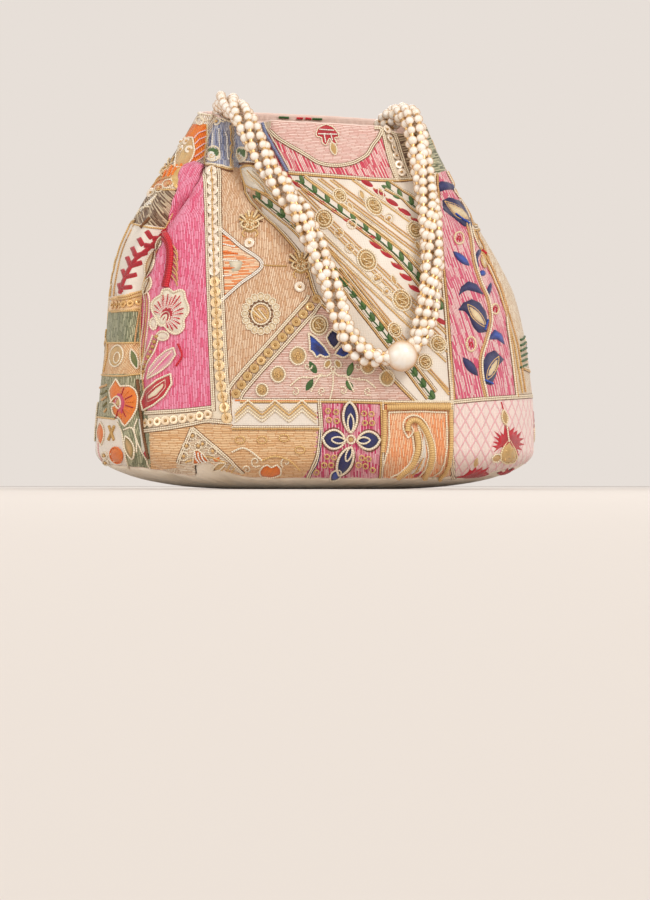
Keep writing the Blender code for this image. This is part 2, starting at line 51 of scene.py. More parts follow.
# camera
camera = {
    "place": (0.005, -1.5, 0.002),
    "lens": 120.0,
    "shiftUp": 35 / 900,
    "metresPerPixel": 0.0005,  # on the plane through the bag's middle
    "middleColumn": 315.0,
    "groundRow": 489.0,
}
cameraData = bpy.data.cameras.new("camera")
cameraData.lens = camera["lens"]
cameraData.shift_y = camera["shiftUp"]
cameraData.clip_start = 0.01
cameraObject = bpy.data.objects.new("camera", cameraData)
cameraObject.location = camera["place"]
cameraObject.rotation_euler = (math.pi / 2, 0, 0)
scene.collection.objects.link(cameraObject)
scene.camera = cameraObject


# shader and geometry graphs written as expressions
class Wire:  # one socket, with the operators that the graphs use
    def __init__(self, graph, socket):
        self.graph, self.socket = graph, socket

    def calc(self, operation, *values):
        node = self.graph.tree.nodes.new("ShaderNodeMath")
        node.operation = operation
        for i, value in enumerate((self,) + values):
            self.graph.plug(node.inputs[i], value)
        return Wire(self.graph, node.outputs[0])

    def __add__(self, other): return self.calc("ADD", other)
    def __radd__(self, other): return self.calc("ADD", other)
    def __mul__(self, other): return self.calc("MULTIPLY", other)
    def __rmul__(self, other): return self.calc("MULTIPLY", other)
    def __sub__(self, other): return self.calc("SUBTRACT", other)
    def __truediv__(self, other): return self.calc("DIVIDE", other)
    def __pow__(self, other): return self.calc("POWER", other)
    def __neg__(self): return self.calc("MULTIPLY", -1.0)

    def __rsub__(self, other):
        return (-self) + other

    def floor(self): return self.calc("FLOOR")
    def fract(self): return self.calc("FRACT")
    def sine(self): return self.calc("SINE")
    def size(self): return self.calc("ABSOLUTE")
    def least(self, other): return self.calc("MINIMUM", other)
    def most(self, other): return self.calc("MAXIMUM", other)

    def clamp(self):
        return self.calc("MINIMUM", 1.0).calc("MAXIMUM", 0.0)

    def ease(self, low, high):
        return self.graph.node("ShaderNodeMapRange", {"interpolation_type": "SMOOTHSTEP"},
                               {"Value": self, "From Min": low, "From Max": high}).out(0)


class Made:  # a node whose outputs are picked by name or number
    def __init__(self, graph, node):
        self.graph, self.node = graph, node

    def out(self, name=0):
        return Wire(self.graph, self.node.outputs[name])


class Graph:
    def __init__(self, tree):
        self.tree = tree

    def plug(self, socket, value):
        if isinstance(value, Made):
            value = value.out()
        if isinstance(value, Wire):
            self.tree.links.new(value.socket, socket)
        else:
            socket.default_value = value

    def node(self, kind, settings=None, sockets=None):
        node = self.tree.nodes.new(kind)
        for name, value in (settings or {}).items():
            setattr(node, name, value)
        for name, value in (sockets or {}).items():
            self.plug(node.inputs[name], value)
        return Made(self, node)

    def mix(self, share, first, second, how="MIX"):
        node = self.tree.nodes.new("ShaderNodeMix")
        node.data_type, node.blend_type = "RGBA", how
        colours = [s for s in node.inputs if s.type == "RGBA"]
        self.plug(node.inputs["Factor"], share)
        for socket, value in zip(colours, (first, second)):
            self.plug(socket, (*value, 1.0) if isinstance(value, tuple) and len(value) == 3 else value)
        return Wire(self, [s for s in node.outputs if s.type == "RGBA"][0])

    def attribute(self, name, output="Color"):
        return self.node("ShaderNodeAttribute", {"attribute_name": name}).out(output)

    def vector(self, x=0.0, y=0.0, z=0.0):
        return self.node("ShaderNodeCombineXYZ", None, {"X": x, "Y": y, "Z": z}).out()

    def split(self, vector):
        node = self.node("ShaderNodeSeparateXYZ", None, {"Vector": vector})
        return [node.out(i) for i in range(3)]

    def noise(self, vector, scale, detail=2.0):
        return self.node("ShaderNodeTexNoise", None, {"Vector": vector, "Scale": scale, "Detail": detail}).out(0)

    def chance(self, x, y=0.0):  # an even random number for a pair of whole numbers
        return self.node("ShaderNodeTexWhiteNoise", {"noise_dimensions": "3D"}, {"Vector": self.vector(x, y, 0.5)}).out(0)

    def bump(self, height, distance, strength=1.0):
        return self.node("ShaderNodeBump", None, {"Height": height, "Distance": distance, "Strength": strength}).out()


def newMaterial(name, **constants):
    material = bpy.data.materials.new(name)
    material.use_nodes = True
    graph = Graph(material.node_tree)
    shader = material.node_tree.nodes["Principled BSDF"]
    for socket, value in constants.items():
        shader.inputs[socket.replace("_", " ")].default_value = value
    return material, graph, shader.inputs


def trace(text):  # rows of numbers, such as the x,y pairs of a line
    return [tuple(float(n) if "." in n else int(n) for n in row.split(",")) for row in text.split()]


# the bag's skin, in the solids' own frame
skin = {
    "stations": (0.0195, 0.0850, 0.1250, 0.1580, 0.1845),  # heights of the sizes below
    "halfWidth": (0.1090, 0.1022, 0.0900, 0.0715, 0.0575),
    "halfDepth": (0.0640, 0.0590, 0.0505, 0.0415, 0.0340),
    "sway": (0.0, -0.0010, -0.0055, -0.0040, -0.0010),
    "flat": (0.0400, 0.0300),
    "squareness": (2.6, 2.2),
    "rise": (0.0034, 0.0058),  # of the rim, at the left and at the back
    "dips": trace("-38.0,.003,12.0 50.0,.003,13.0"),
    "seam": (44.0, 28.0, 6),
    "seamBumps": trace("31.0,-25.0,5.0 12.0,-52.0,17.0"),
    "foldFade": 0.5,
}
# below the rim, angle, depth, width
folds = (
    trace("0.0,-61,.005,.0036 .02,-50,.008,.0042 .04,-46,.009,.005 .055,-49,.008,.0052 .085,-55,.006,.0048 .111,-52,.0048,.0045 "
          ".141,-47,.0036,.0045 .175,-46,.0024,.0045"),
    trace("0.0,-42,.005,.0032 .02,-29,.0068,.0036 .035,-20,.0062,.0044 .048,-11,.0048,.0052 .058,-4,.0034,.006 .075,0,.0014,.0065 "
          ".095,2,0.0,.0065"),
    trace("0.0,-23,.0036,.003 .02,-15,.0028,.0032 .035,-12,.0012,.0035 .05,-10,0.0,.0035"),
    trace("0.0,43,.0034,.0032 .02,40,.0038,.0036 .035,38,.0024,.0042 .055,36,0.0,.0045"),
    trace("0.0,60,.0046,.0034 .02,57,.0058,.004 .035,58,.005,.0046 .06,60,0.0,.005"),
    trace(".03,84,0.0,.005 .05,80,.005,.005 .07,72,.0056,.0048 .088,71,.0034,.005 .11,72,0.0,.0055"),
    trace("0.0,-88,.004,.0034 .025,-84,.0046,.004 .05,-80,.003,.005 .08,-78,0.0,.005"),
    trace("0.0,90,.004,.0034 .03,92,.0044,.004 .055,96,.0022,.005 .08,98,0.0,.005"),
    trace("0.0,-120,.0048,.0036 .025,-126,.0072,.0042 .05,-129,.0064,.005 .09,-131,.0042,.005 .14,-134,.0024,.0048 .175,-134,.0012,.0045"),
    trace("0.0,-141,.0046,.0034 .025,-151,.0058,.0042 .05,-160,.0036,.0055 .08,-166,0.0,.006"),
    trace("0.0,141,.0046,.0034 .025,151,.0058,.0042 .05,158,.0036,.0055 .085,164,0.0,.006"),
    trace("0.0,120,.0048,.0036 .025,126,.0072,.0042 .05,128,.006,.005 .09,129,.004,.005 .14,131,.0022,.0048 .175,132,.001,.0045"),
    trace(".14,-25,0.0,.007 .16,-25,.0022,.006 .18,-25,.003,.006"),
    trace("0.0,-50,0.0,.005 .025,-38,-.0022,.006 .06,-40,-.0026,.01 .1,-40,0.0,.01"),
    trace(".055,90,0.0,.012 .085,88,-.0018,.014 .13,88,0.0,.014"),
)
eyelets = {
    "height": 0.1540, "flange": 0.0072, "hole": 0.0044, "margin": 0.0008, "fade": 0.0040,
    "angles": {"left_front": -54, "left_side": -112, "left_back": -135, "back_left": -157,
               "back_right": 157, "right_back": 135, "right_side": 112},
}
flatEdge, cornerTop, rimRun = 1.0, 2.0, 3.0
cornerHeight, rimHeight = skin["stations"][0], skin["stations"][-1]


def spline(places, values):  # smooth through the values, level at the first
    x, y = np.array(places, float), np.array(values, float)
    step = np.diff(x)
    slope = np.diff(y) / step
    n = len(x)
    matrix, right = np.zeros((n, n)), np.zeros(n)
    matrix[0, 0] = 1.0
    for i in range(1, n - 1):
        matrix[i, i - 1:i + 2] = 1 / step[i - 1], 2 * (1 / step[i - 1] + 1 / step[i]), 1 / step[i]
        right[i] = 3 * (slope[i - 1] / step[i - 1] + slope[i] / step[i])
    matrix[-1, -2:] = 1.0, 2.0
    right[-1] = 3 * slope[-1]
    tangent = np.linalg.solve(matrix, right)

    def curve(at):
        at = np.clip(at, x[0], x[-1])
        i = np.clip(np.searchsorted(x, at, side="right") - 1, 0, n - 2)
        t = (at - x[i]) / step[i]
        near = (1 + 2 * t) * (1 - t) ** 2 * y[i] + t * (1 - t) ** 2 * step[i] * tangent[i]
        return near + t * t * (3 - 2 * t) * y[i + 1] + t * t * (t - 1) * step[i] * tangent[i + 1]

    return curve


halfWidth = spline(skin["stations"], skin["halfWidth"])
halfDepth = spline(skin["stations"], skin["halfDepth"])
sway = spline(skin["stations"], skin["sway"])


def eased(value):
    value = np.clip(value, 0.0, 1.0)
    return value * value * (3 - 2 * value)


def bumpAt(angle, at, wide):
    away = (np.degrees(angle) - at + 180) % 360 - 180
    return np.exp(-((away / wide) ** 2))


def heightOf(run):
    turn = np.clip(run - flatEdge, 0, 1) * math.pi / 2
    return cornerHeight * (1 - np.cos(turn)) + np.clip(run - cornerTop, 0, 1) * (rimHeight - cornerHeight)


def smoothSkin(angle, run):
    turn = np.sin(np.clip(run - flatEdge, 0, 1) * math.pi / 2)
    level = heightOf(run)
    wide, deep = skin["flat"]
    width = wide + (skin["halfWidth"][0] - wide) * turn
    depth = deep + (skin["halfDepth"][0] - deep) * turn
    width = np.where(run > cornerTop, halfWidth(level), width) * np.clip(run, 0, 1)
    depth = np.where(run > cornerTop, halfDepth(level), depth) * np.clip(run, 0, 1)
    climb = np.clip(run - cornerTop, 0, 1)
    low, high = skin["squareness"]
    power = 2 / (low + (high - low) * climb)
    across, along = np.sin(angle), -np.cos(angle)
    x = np.where(run > cornerTop, sway(level), 0.0) + width * np.sign(across) * np.abs(across) ** power
    y = depth * np.sign(along) * np.abs(along) ** power
    rise = skin["rise"][0] * -across + skin["rise"][1] * along
    for at, down, spread in skin["dips"]:
        rise = rise - down * bumpAt(angle, at, spread)
    shoulder = skin["stations"][2]
    z = level + rise * eased((level - shoulder) / (rimHeight - shoulder))
    return np.stack(np.broadcast_arrays(x, y, z), axis=-1)


def skinFrame(angle, run, small=0.01):
    roundIt = smoothSkin(angle + small, run) - smoothSkin(angle - small, run)
    upIt = smoothSkin(angle, run + small) - smoothSkin(angle, run - small)
    normal = np.cross(roundIt, upIt)
    normal /= np.maximum(np.linalg.norm(normal, axis=-1, keepdims=True), 1e-12)
    level = np.stack((roundIt[..., 1], -roundIt[..., 0], 0 * roundIt[..., 0]), axis=-1)
    length = np.maximum(np.linalg.norm(level, axis=-1), 1e-12)
    return normal, level / length[..., None], length / (2 * small)


def foldShift(angle, run):
    scale = skinFrame(angle, run)[2]
    below = rimHeight - heightOf(run)
    shift = np.zeros(np.broadcast(angle, run).shape)
    for places in folds:
        down, at, deep, wide = (np.array(column, float) for column in zip(*places))
        centre = np.radians(np.interp(below, down, at))
        away = (angle - centre + math.pi) % (2 * math.pi) - math.pi
        depth = np.interp(below, down, deep, left=0.0, right=deep[-1])
        shift -= depth * np.exp(-((away * scale / np.interp(below, down, wide)) ** 2))
    return shift * eased((run - flatEdge) / skin["foldFade"])


def seamRun(angle):
    base, side, power = skin["seam"]
    turn = base + side * np.abs(np.sin(angle)) ** power
    for extra, at, wide in skin["seamBumps"]:
        turn = turn + extra * bumpAt(angle, at, wide)
    return flatEdge + turn / 90


def eyeletSpots():
    spots = {}
    for name, degrees in eyelets["angles"].items():
        angle = np.array(math.radians(degrees))
        run = np.array(cornerTop + (eyelets["height"] - cornerHeight) / (rimHeight - cornerHeight))
        _, level, scale = skinFrame(angle, run)
        reach = eyelets["flange"] / scale
        sides = [smoothSkin(angle + s * reach, run) + level * foldShift(angle + s * reach, run) for s in (-1, 0, 1)]
        upIt = smoothSkin(angle, run + 0.01) - smoothSkin(angle, run - 0.01)
        axis = np.cross(sides[2] - sides[0], upIt)
        spots[name] = ((sides[0] + 2 * sides[1] + sides[2]) / 4, axis / np.linalg.norm(axis))
    return spots


spotOf = eyeletSpots()


def pressFlat(points):
    inner = eyelets["flange"] + eyelets["margin"]
    for centre, axis in spotOf.values():
        proud = (points - centre) @ axis
        beside = np.linalg.norm(points - centre - proud[..., None] * axis, axis=-1)
        share = np.where(np.abs(proud) < 2 * inner, 1 - eased((beside - inner) / eyelets["fade"]), 0.0)
        points = points - (share * proud)[..., None] * axis
    return points


# The cloth's own coordinates are millimetres: u round the bag from the front, v up the wall
# from the top of the bottom corner.
cloth = {"uPerRadian": 86.7, "cornerSpan": 30.6, "wallSpan": 165.0, "lowest": -24.0, "step": 0.5, "pucker": 0.00035}
uEdge = cloth["uPerRadian"] * math.pi


def runOf(v):
    return np.where(v < 0, cornerTop + v / cloth["cornerSpan"], cornerTop + v / cloth["wallSpan"])


def seamV(u):
    return (seamRun(np.asarray(u, float) / cloth["uPerRadian"]) - cornerTop) * cloth["cornerSpan"]


def puckerOf(u, v):  # the small unevenness of hand work, the same at both edges of the wrap
    a = u / cloth["uPerRadian"]
    waves = ((7, .051, .3), (-13, .083, 1.9), (23, -.047, 4.1), (31, .12, 2.2), (-41, .09, 5.0), (53, -.14, .9))
    return sum(np.sin(k * a + q * v + p) for k, q, p in waves) / 3


gridU = np.linspace(-uEdge, uEdge, int(2 * uEdge / cloth["step"]) + 1)
gridV = np.arange(cloth["lowest"], cloth["wallSpan"] + cloth["step"] / 2, cloth["step"])
angleGrid, vGrid = np.meshgrid(gridU / cloth["uPerRadian"], gridV)
runGrid = runOf(vGrid)
normalGrid, levelGrid, _ = skinFrame(angleGrid, runGrid)
placeGrid = smoothSkin(angleGrid, runGrid) + levelGrid * foldShift(angleGrid, runGrid)[..., None]
placeGrid = placeGrid + normalGrid * (cloth["pucker"] * puckerOf(angleGrid * cloth["uPerRadian"], vGrid))[..., None]
placeGrid = pressFlat(placeGrid)
wrapped = np.concatenate((placeGrid[:, -2:-1], placeGrid, placeGrid[:, 1:2]), axis=1)
across = wrapped[:, 2:] - wrapped[:, :-2]
upward = np.gradient(placeGrid, axis=0)
normalGrid = np.cross(across, upward)
normalGrid /= np.maximum(np.linalg.norm(normalGrid, axis=-1, keepdims=True), 1e-12)
# true lengths along the cloth, for the thread patterns
middle = len(gridU) // 2
gaps = np.linalg.norm(np.diff(placeGrid, axis=1), axis=-1)
alongGrid = np.concatenate((np.zeros((len(gridV), 1)), np.cumsum(gaps, axis=1)), axis=1) * 1000
alongGrid -= alongGrid[:, middle:middle + 1]


def sample(grid, uv):
    uv = np.atleast_2d(np.asarray(uv, float))
    x = np.clip((uv[:, 0] + uEdge) / (gridU[1] - gridU[0]), 0, len(gridU) - 1.001)
    y = np.clip((uv[:, 1] - gridV[0]) / cloth["step"], 0, len(gridV) - 1.001)
    i, j = x.astype(int), y.astype(int)
    s, t = x - i, y - j
    if grid.ndim == 3:
        s, t = s[:, None], t[:, None]
    return (grid[j, i] * (1 - s) + grid[j, i + 1] * s) * (1 - t) + (grid[j + 1, i] * (1 - s) + grid[j + 1, i + 1] * s) * t


def onCloth(uv, lift=0.0):
    normals = sample(normalGrid, uv)
    normals /= np.linalg.norm(normals, axis=1, keepdims=True)
    return sample(placeGrid, uv) + normals * np.asarray(lift, float).reshape(-1, 1), normals


# rays from the camera to the cloth, so that a place in the photograph finds its place on the bag
rayStep = 2
rayColumns = [i for i in range(0, len(gridU), rayStep) if abs(gridU[i]) < 1.95 * cloth["uPerRadian"]]
rayRows = list(range(0, len(gridV), rayStep))
rayPoints = [Vector(placeGrid[j, i]) for j in rayRows for i in rayColumns]
rayWide = len(rayColumns)
rayFaces = [
    (j * rayWide + i, j * rayWide + i + 1, (j + 1) * rayWide + i + 1, (j + 1) * rayWide + i)
    for j in range(len(rayRows) - 1) for i in range(rayWide - 1)
]
rayTree = BVHTree.FromPolygons(rayPoints, rayFaces)
eye = Vector(camera["place"])


def seen(x, y):  # cloth coordinates of a picture point, or None past the outline
    far = Vector(((x - camera["middleColumn"]) * camera["metresPerPixel"], 0.0,
                  (camera["groundRow"] - y) * camera["metresPerPixel"]))
    hit, normal, face, _ = rayTree.ray_cast(eye, (far - eye).normalized())
    if hit is None:
        return None
    j, i = divmod(face, rayWide - 1)
    a, b, c = (rayPoints[rayFaces[face][k]] for k in (0, 1, 3))
    s = (hit - a).dot(b - a) / max((b - a).length_squared, 1e-12)
    t = (hit - a).dot(c - a) / max((c - a).length_squared, 1e-12)
    u = gridU[rayColumns[i]] + s * rayStep * (gridU[1] - gridU[0])
    v = gridV[rayRows[j]] + t * rayStep * cloth["step"]
    return float(u), float(v)


def pic(x, y):  # as seen(), moved in to the outline where the point is past it
    for step in range(120):
        found = seen(x, y)
        if found:
            return found
        x += 0.6 if x < 315 else -0.6
        y += 0.35 if y < 300 else -0.1
    raise ValueError("a picture point is far from the bag")


print("skin ready", placeGrid.shape)


# lines and outlines
def smoothLine(points, closed=False, step=1.0):
    points = [np.array(p, float) for p in points]
    if len(points) == 2 and not closed:
        count = max(2, int(np.linalg.norm(points[1] - points[0]) / step))
        return np.array([points[0] + (points[1] - points[0]) * k / count for k in range(count + 1)])
    if closed:
        ring = [points[-1]] + points + points[:2]
    else:
        ring = [2 * points[0] - points[1]] + points + [2 * points[-1] - points[-2]]
    made = []
    for a, b, c, d in zip(ring, ring[1:], ring[2:], ring[3:]):
        count = max(2, int(np.linalg.norm(c - b) / step))
        for k in range(count):
            t = k / count
            made.append(0.5 * (2 * b + (c - a) * t + (2 * a - 5 * b + 4 * c - d) * t * t + (3 * b - a - 3 * c + d) * t ** 3))
    if not closed:
        made.append(points[-1])
    return np.array(made)


def straightLine(points, closed=False, step=2.0):
    points = [np.array(p, float) for p in points]
    if closed:
        points = points + points[:1]
    made = []
    for a, b in zip(points, points[1:]):
        count = max(1, int(np.linalg.norm(b - a) / step))
        made += [a + (b - a) * k / count for k in range(count)]
    if not closed:
        made.append(points[-1])
    return np.array(made)


def fromPicture(line):
    return np.array([pic(x, y) for x, y in line])


def inside(points, ring):
    x, y = points[:, 0], points[:, 1]
    found = np.zeros(len(points), bool)
    for (ax, ay), (bx, by) in zip(ring, np.roll(ring, -1, axis=0)):
        crosses = (ay > y) != (by > y)
        with np.errstate(divide="ignore", invalid="ignore"):
            found ^= crosses & (x < (bx - ax) * (y - ay) / (by - ay) + ax)
    return found


def newPiece(name, points, faces, material, replaced=(), smooth=True):
    mesh = bpy.data.meshes.new(name)
    mesh.from_pydata([tuple(p) for p in points], [], faces)
    if smooth:
        mesh.shade_smooth()
    made = bpy.data.objects.new(name, mesh)
    scene.collection.objects.link(made)
    if material:
        mesh.materials.append(material)
    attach(made, "root")
    if replaced:
        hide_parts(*replaced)
    return made


def paint(mesh, name, colours, domain="POINT"):
    layer = mesh.color_attributes.new(name, "FLOAT_COLOR", domain)
    colours = np.asarray(colours, np.float32)
    if colours.shape[1] == 3:
        colours = np.concatenate((colours, np.ones((len(colours), 1), np.float32)), axis=1)
    layer.data.foreach_set("color", colours.ravel())


def lay(mesh, name, uvs):  # uvs for each corner
    layer = mesh.uv_layers.new(name=name)
    layer.data.foreach_set("uv", np.asarray(uvs, np.float32).ravel())


# colours of silk and thread
silk = {
    "hotPink": (srgb(255, 170, 200), srgb(238, 62, 118)),
    "peach": (srgb(248, 220, 188), srgb(212, 160, 112)),
    "sand": (srgb(251, 218, 172), srgb(228, 176, 120)),
    "palePink": (srgb(248, 224, 212), srgb(226, 180, 166)),
    "blush": (srgb(253, 224, 214), srgb(236, 186, 178)),
    "rose": (srgb(222, 62, 92), srgb(252, 212, 206)),
    "vinePink": (srgb(228, 86, 126), srgb(250, 210, 208)),
    "petalPink": (srgb(214, 56, 112), srgb(246, 186, 196)),
    "orange": (srgb(255, 220, 180), srgb(255, 144, 66)),
    "fan": (srgb(250, 152, 88), srgb(255, 226, 190)),
    "apricot": (srgb(252, 206, 160), srgb(246, 148, 84)),
    "ivory": (srgb(253, 247, 236), srgb(230, 214, 192)),
    "ecru": (srgb(238, 224, 202), srgb(222, 202, 172)),
    "cream": (srgb(250, 238, 216), srgb(222, 196, 160)),
    "blueGrey": (srgb(220, 220, 230), srgb(102, 118, 172)),
    "moss": (srgb(212, 206, 172), srgb(104, 108, 62)),
    "sage": (srgb(200, 198, 162), srgb(92, 104, 72)),
    "bark": (srgb(214, 194, 162), srgb(96, 66, 42)),
    "lattice": (srgb(250, 230, 222), srgb(244, 210, 202)),
    "flame": (srgb(255, 148, 44), srgb(238, 108, 16)),
    "white": (srgb(240, 231, 220), srgb(222, 208, 192)),
}


# geometry node trees
def newTree(name, inputs):
    tree = bpy.data.node_groups.new(name, "GeometryNodeTree")
    tree.interface.new_socket("Geometry", in_out="INPUT", socket_type="NodeSocketGeometry")
    for label, kind in inputs:
        tree.interface.new_socket(label, in_out="INPUT", socket_type="NodeSocket" + kind)
    tree.interface.new_socket("Geometry", in_out="OUTPUT", socket_type="NodeSocketGeometry")
    graph = Graph(tree)
    return tree, graph, graph.node("NodeGroupInput")


def endTree(graph, geometry, start):
    solid = graph.node("GeometryNodeRealizeInstances", None, {"Geometry": geometry})
    smooth = graph.node("GeometryNodeSetShadeSmooth", None, {"Geometry": solid})
    finished = graph.node("GeometryNodeSetMaterial", None, {"Geometry": smooth, "Material": start.out("Material")})
    graph.node("NodeGroupOutput", None, {"Geometry": finished})


def runTree(name, tree, values, points, edges, fields, replaced=()):
    mesh = bpy.data.meshes.new(name + "_guide")
    mesh.from_pydata([tuple(p) for p in points], edges, [])
    for label, (kind, data) in fields.items():
        layer = mesh.attributes.new(label, kind, "POINT")
        layer.data.foreach_set({"FLOAT": "value", "FLOAT_VECTOR": "vector", "FLOAT_COLOR": "color"}[kind],
                               np.asarray(data, np.float32).ravel())
    guide = bpy.data.objects.new(name + "_guide", mesh)
    scene.collection.objects.link(guide)
    modifier = guide.modifiers.new("make", "NODES")
    modifier.node_group = tree
    for item in tree.interface.items_tree:
        if item.in_out == "INPUT" and item.name in values:
            modifier[item.identifier] = values[item.name]
    made = bpy.data.meshes.new_from_object(guide.evaluated_get(bpy.context.evaluated_depsgraph_get()))
    bpy.data.objects.remove(guide, do_unlink=True)
    piece = bpy.data.objects.new(name, made)
    made.name = name
    scene.collection.objects.link(piece)
    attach(piece, "root")
    if replaced:
        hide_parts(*replaced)
    return piece


# small round things set on places, each facing its own way
placeTree, graph, start = newTree("set on places",
                                  (("Shape", "Object"), ("Material", "Material"), ("Wobble", "Float"), ("Seed", "Int")))
facing = graph.node("FunctionNodeAlignRotationToVector", {"axis": "Z"},
                    {"Vector": graph.node("GeometryNodeInputNamedAttribute", {"data_type": "FLOAT_VECTOR"}, {"Name": "facing"})})
wobble = graph.node("FunctionNodeRandomValue", {"data_type": "FLOAT_VECTOR"},
                    {"Min": (-1, -1, -math.pi), "Max": (1, 1, math.pi), "Seed": start.out("Seed")})
part = graph.node("ShaderNodeVectorMath", {"operation": "SCALE"}, {"Vector": wobble, "Scale": start.out("Wobble")})
lean = graph.node("FunctionNodeEulerToRotation", None, {"Euler": part})
turned = graph.node("FunctionNodeRotateRotation", {"rotation_space": "LOCAL"}, {"Rotation": facing, "Rotate By": lean})
shape = graph.node("GeometryNodeObjectInfo", None, {"Object": start.out("Shape")})
size = graph.node("GeometryNodeInputNamedAttribute", {"data_type": "FLOAT"}, {"Name": "size"})
placed = graph.node("GeometryNodeInstanceOnPoints", None, {
    "Points": start.out("Geometry"), "Instance": shape.out("Geometry"), "Rotation": turned, "Scale": size})
endTree(graph, placed, start)

# round threads that follow lines
twineTree, graph, start = newTree("threads along lines", (("Sides", "Int"), ("Material", "Material")))
line = graph.node("GeometryNodeMeshToCurve", None, {"Mesh": start.out("Geometry")})
along = graph.node("GeometryNodeStoreNamedAttribute", {"data_type": "FLOAT"}, {
    "Geometry": line, "Name": "along", "Value": graph.node("GeometryNodeSplineParameter").out("Length")})
ring = graph.node("GeometryNodeCurvePrimitiveCircle", None, {"Resolution": start.out("Sides"), "Radius": 1.0})
girth = graph.node("GeometryNodeInputNamedAttribute", {"data_type": "FLOAT"}, {"Name": "girth"})
tube = graph.node("GeometryNodeCurveToMesh", None, {"Curve": along, "Profile Curve": ring, "Scale": girth, "Fill Caps": True})
endTree(graph, tube, start)


def shapeOnly(name, build):  # a shape for the tree to repeat, removed afterwards
    mesh = bpy.data.meshes.new(name)
    made = bmesh.new()
    build(made)
    made.to_mesh(mesh)
    made.free()
    thing = bpy.data.objects.new(name, mesh)
    scene.collection.objects.link(thing)
    return thing


def buildBall(made):
    bmesh.ops.create_icosphere(made, subdivisions=2, radius=0.5)


def buildBead(made):
    bmesh.ops.create_icosphere(made, subdivisions=1, radius=0.5)


def buildSequin(made):  # a dished disc with a hole, unit width
    sides = 12
    rings = []
    for radius, height in trace(".1,.03 .27,.05 .42,.06 .5,.04 .47,-.01 .1,-.02"):
        rings.append([made.verts.new((radius * math.cos(tau * k / sides), radius * math.sin(tau * k / sides),
                                      height)) for k in range(sides)])
    for a, b in zip(rings, rings[1:] + rings[:1]):
        for k in range(sides):
            made.faces.new((a[k], b[k], b[(k + 1) % sides], a[(k + 1) % sides]))
    bmesh.ops.recalc_face_normals(made, faces=made.faces)


ball, bead, sequinShape = shapeOnly("ball", buildBall), shapeOnly("bead", buildBead), shapeOnly("sequin_shape", buildSequin)


# the rope of pearls
rope = {
    "left": trace("-.057,.0015,.154 -.0524,.0005,.1625 -.0477,-.0015,.172 -.0438,-.0036,.1805 -.045,-.0083,.1888 "
                  "-.044,-.0148,.1914 -.0413,-.022,.1886 -.038,-.0304,.1854 -.0343,-.0375,.1798 -.0295,-.042,.1698 "
                  "-.0256,-.0446,.1621 -.0213,-.0483,.1544 -.0163,-.0516,.1467 -.0112,-.0541,.1392 -.0066,-.0561,.1322 "
                  "-.003,-.0579,.1249 0.0,-.0595,.117 .0028,-.0611,.1091 .006,-.0631,.101 .0091,-.0648,.0925 .012,-.0664,.0843 "
                  ".0147,-.0675,.0764 .0184,-.0682,.0699 .0234,-.0684,.0653 .0286,-.0684,.063 .0339,-.0681,.0628"),
    "pearl": (.0417, -.0677, .0636), "pearlSize": 0.0150,
    "right": trace(".0478,-.0655,.0689 .0504,-.0645,.0724 .0523,-.0628,.0776 .0538,-.0612,.0842 .0548,-.0594,.0912 "
                   ".0556,-.0574,.0983 .0562,-.0551,.1058 .0566,-.0526,.1133 .0566,-.05,.1208 .0559,-.0471,.1301 .0547,-.043,.1404 "
                   ".0533,-.0377,.1507 .0518,-.0337,.161 .05,-.0315,.1695 .049,-.03,.1755 .0478,-.027,.1805 .0455,-.0222,.1838 "
                   ".042,-.016,.1848 .038,-.01,.1835 .0347,-.005,.18 .0335,-.001,.1745 .0352,.0012,.1682 .0395,.0018,.162 "
                   ".045,.0015,.1565 .0503,.001,.1515"),
    "diameter": 0.0130, "strands": 6, "strandRadius": 0.0038, "turnLength": 0.105,
    "beadSize": 0.0048, "spacerSize": 0.0019, "pitch": 0.0053, "coreRadius": 0.0012, "pinch": 0.0016, "pinchReach": 0.016,
}


def evenly(points, spacing):
    points = np.asarray(points, float)
    run = np.concatenate(([0.0], np.cumsum(np.linalg.norm(np.diff(points, axis=0), axis=1))))
    count = max(1, round(run[-1] / spacing))
    at = np.linspace(0, run[-1], count + 1)
    return np.stack([np.interp(at, run, points[:, k]) for k in range(points.shape[1])], axis=1), at


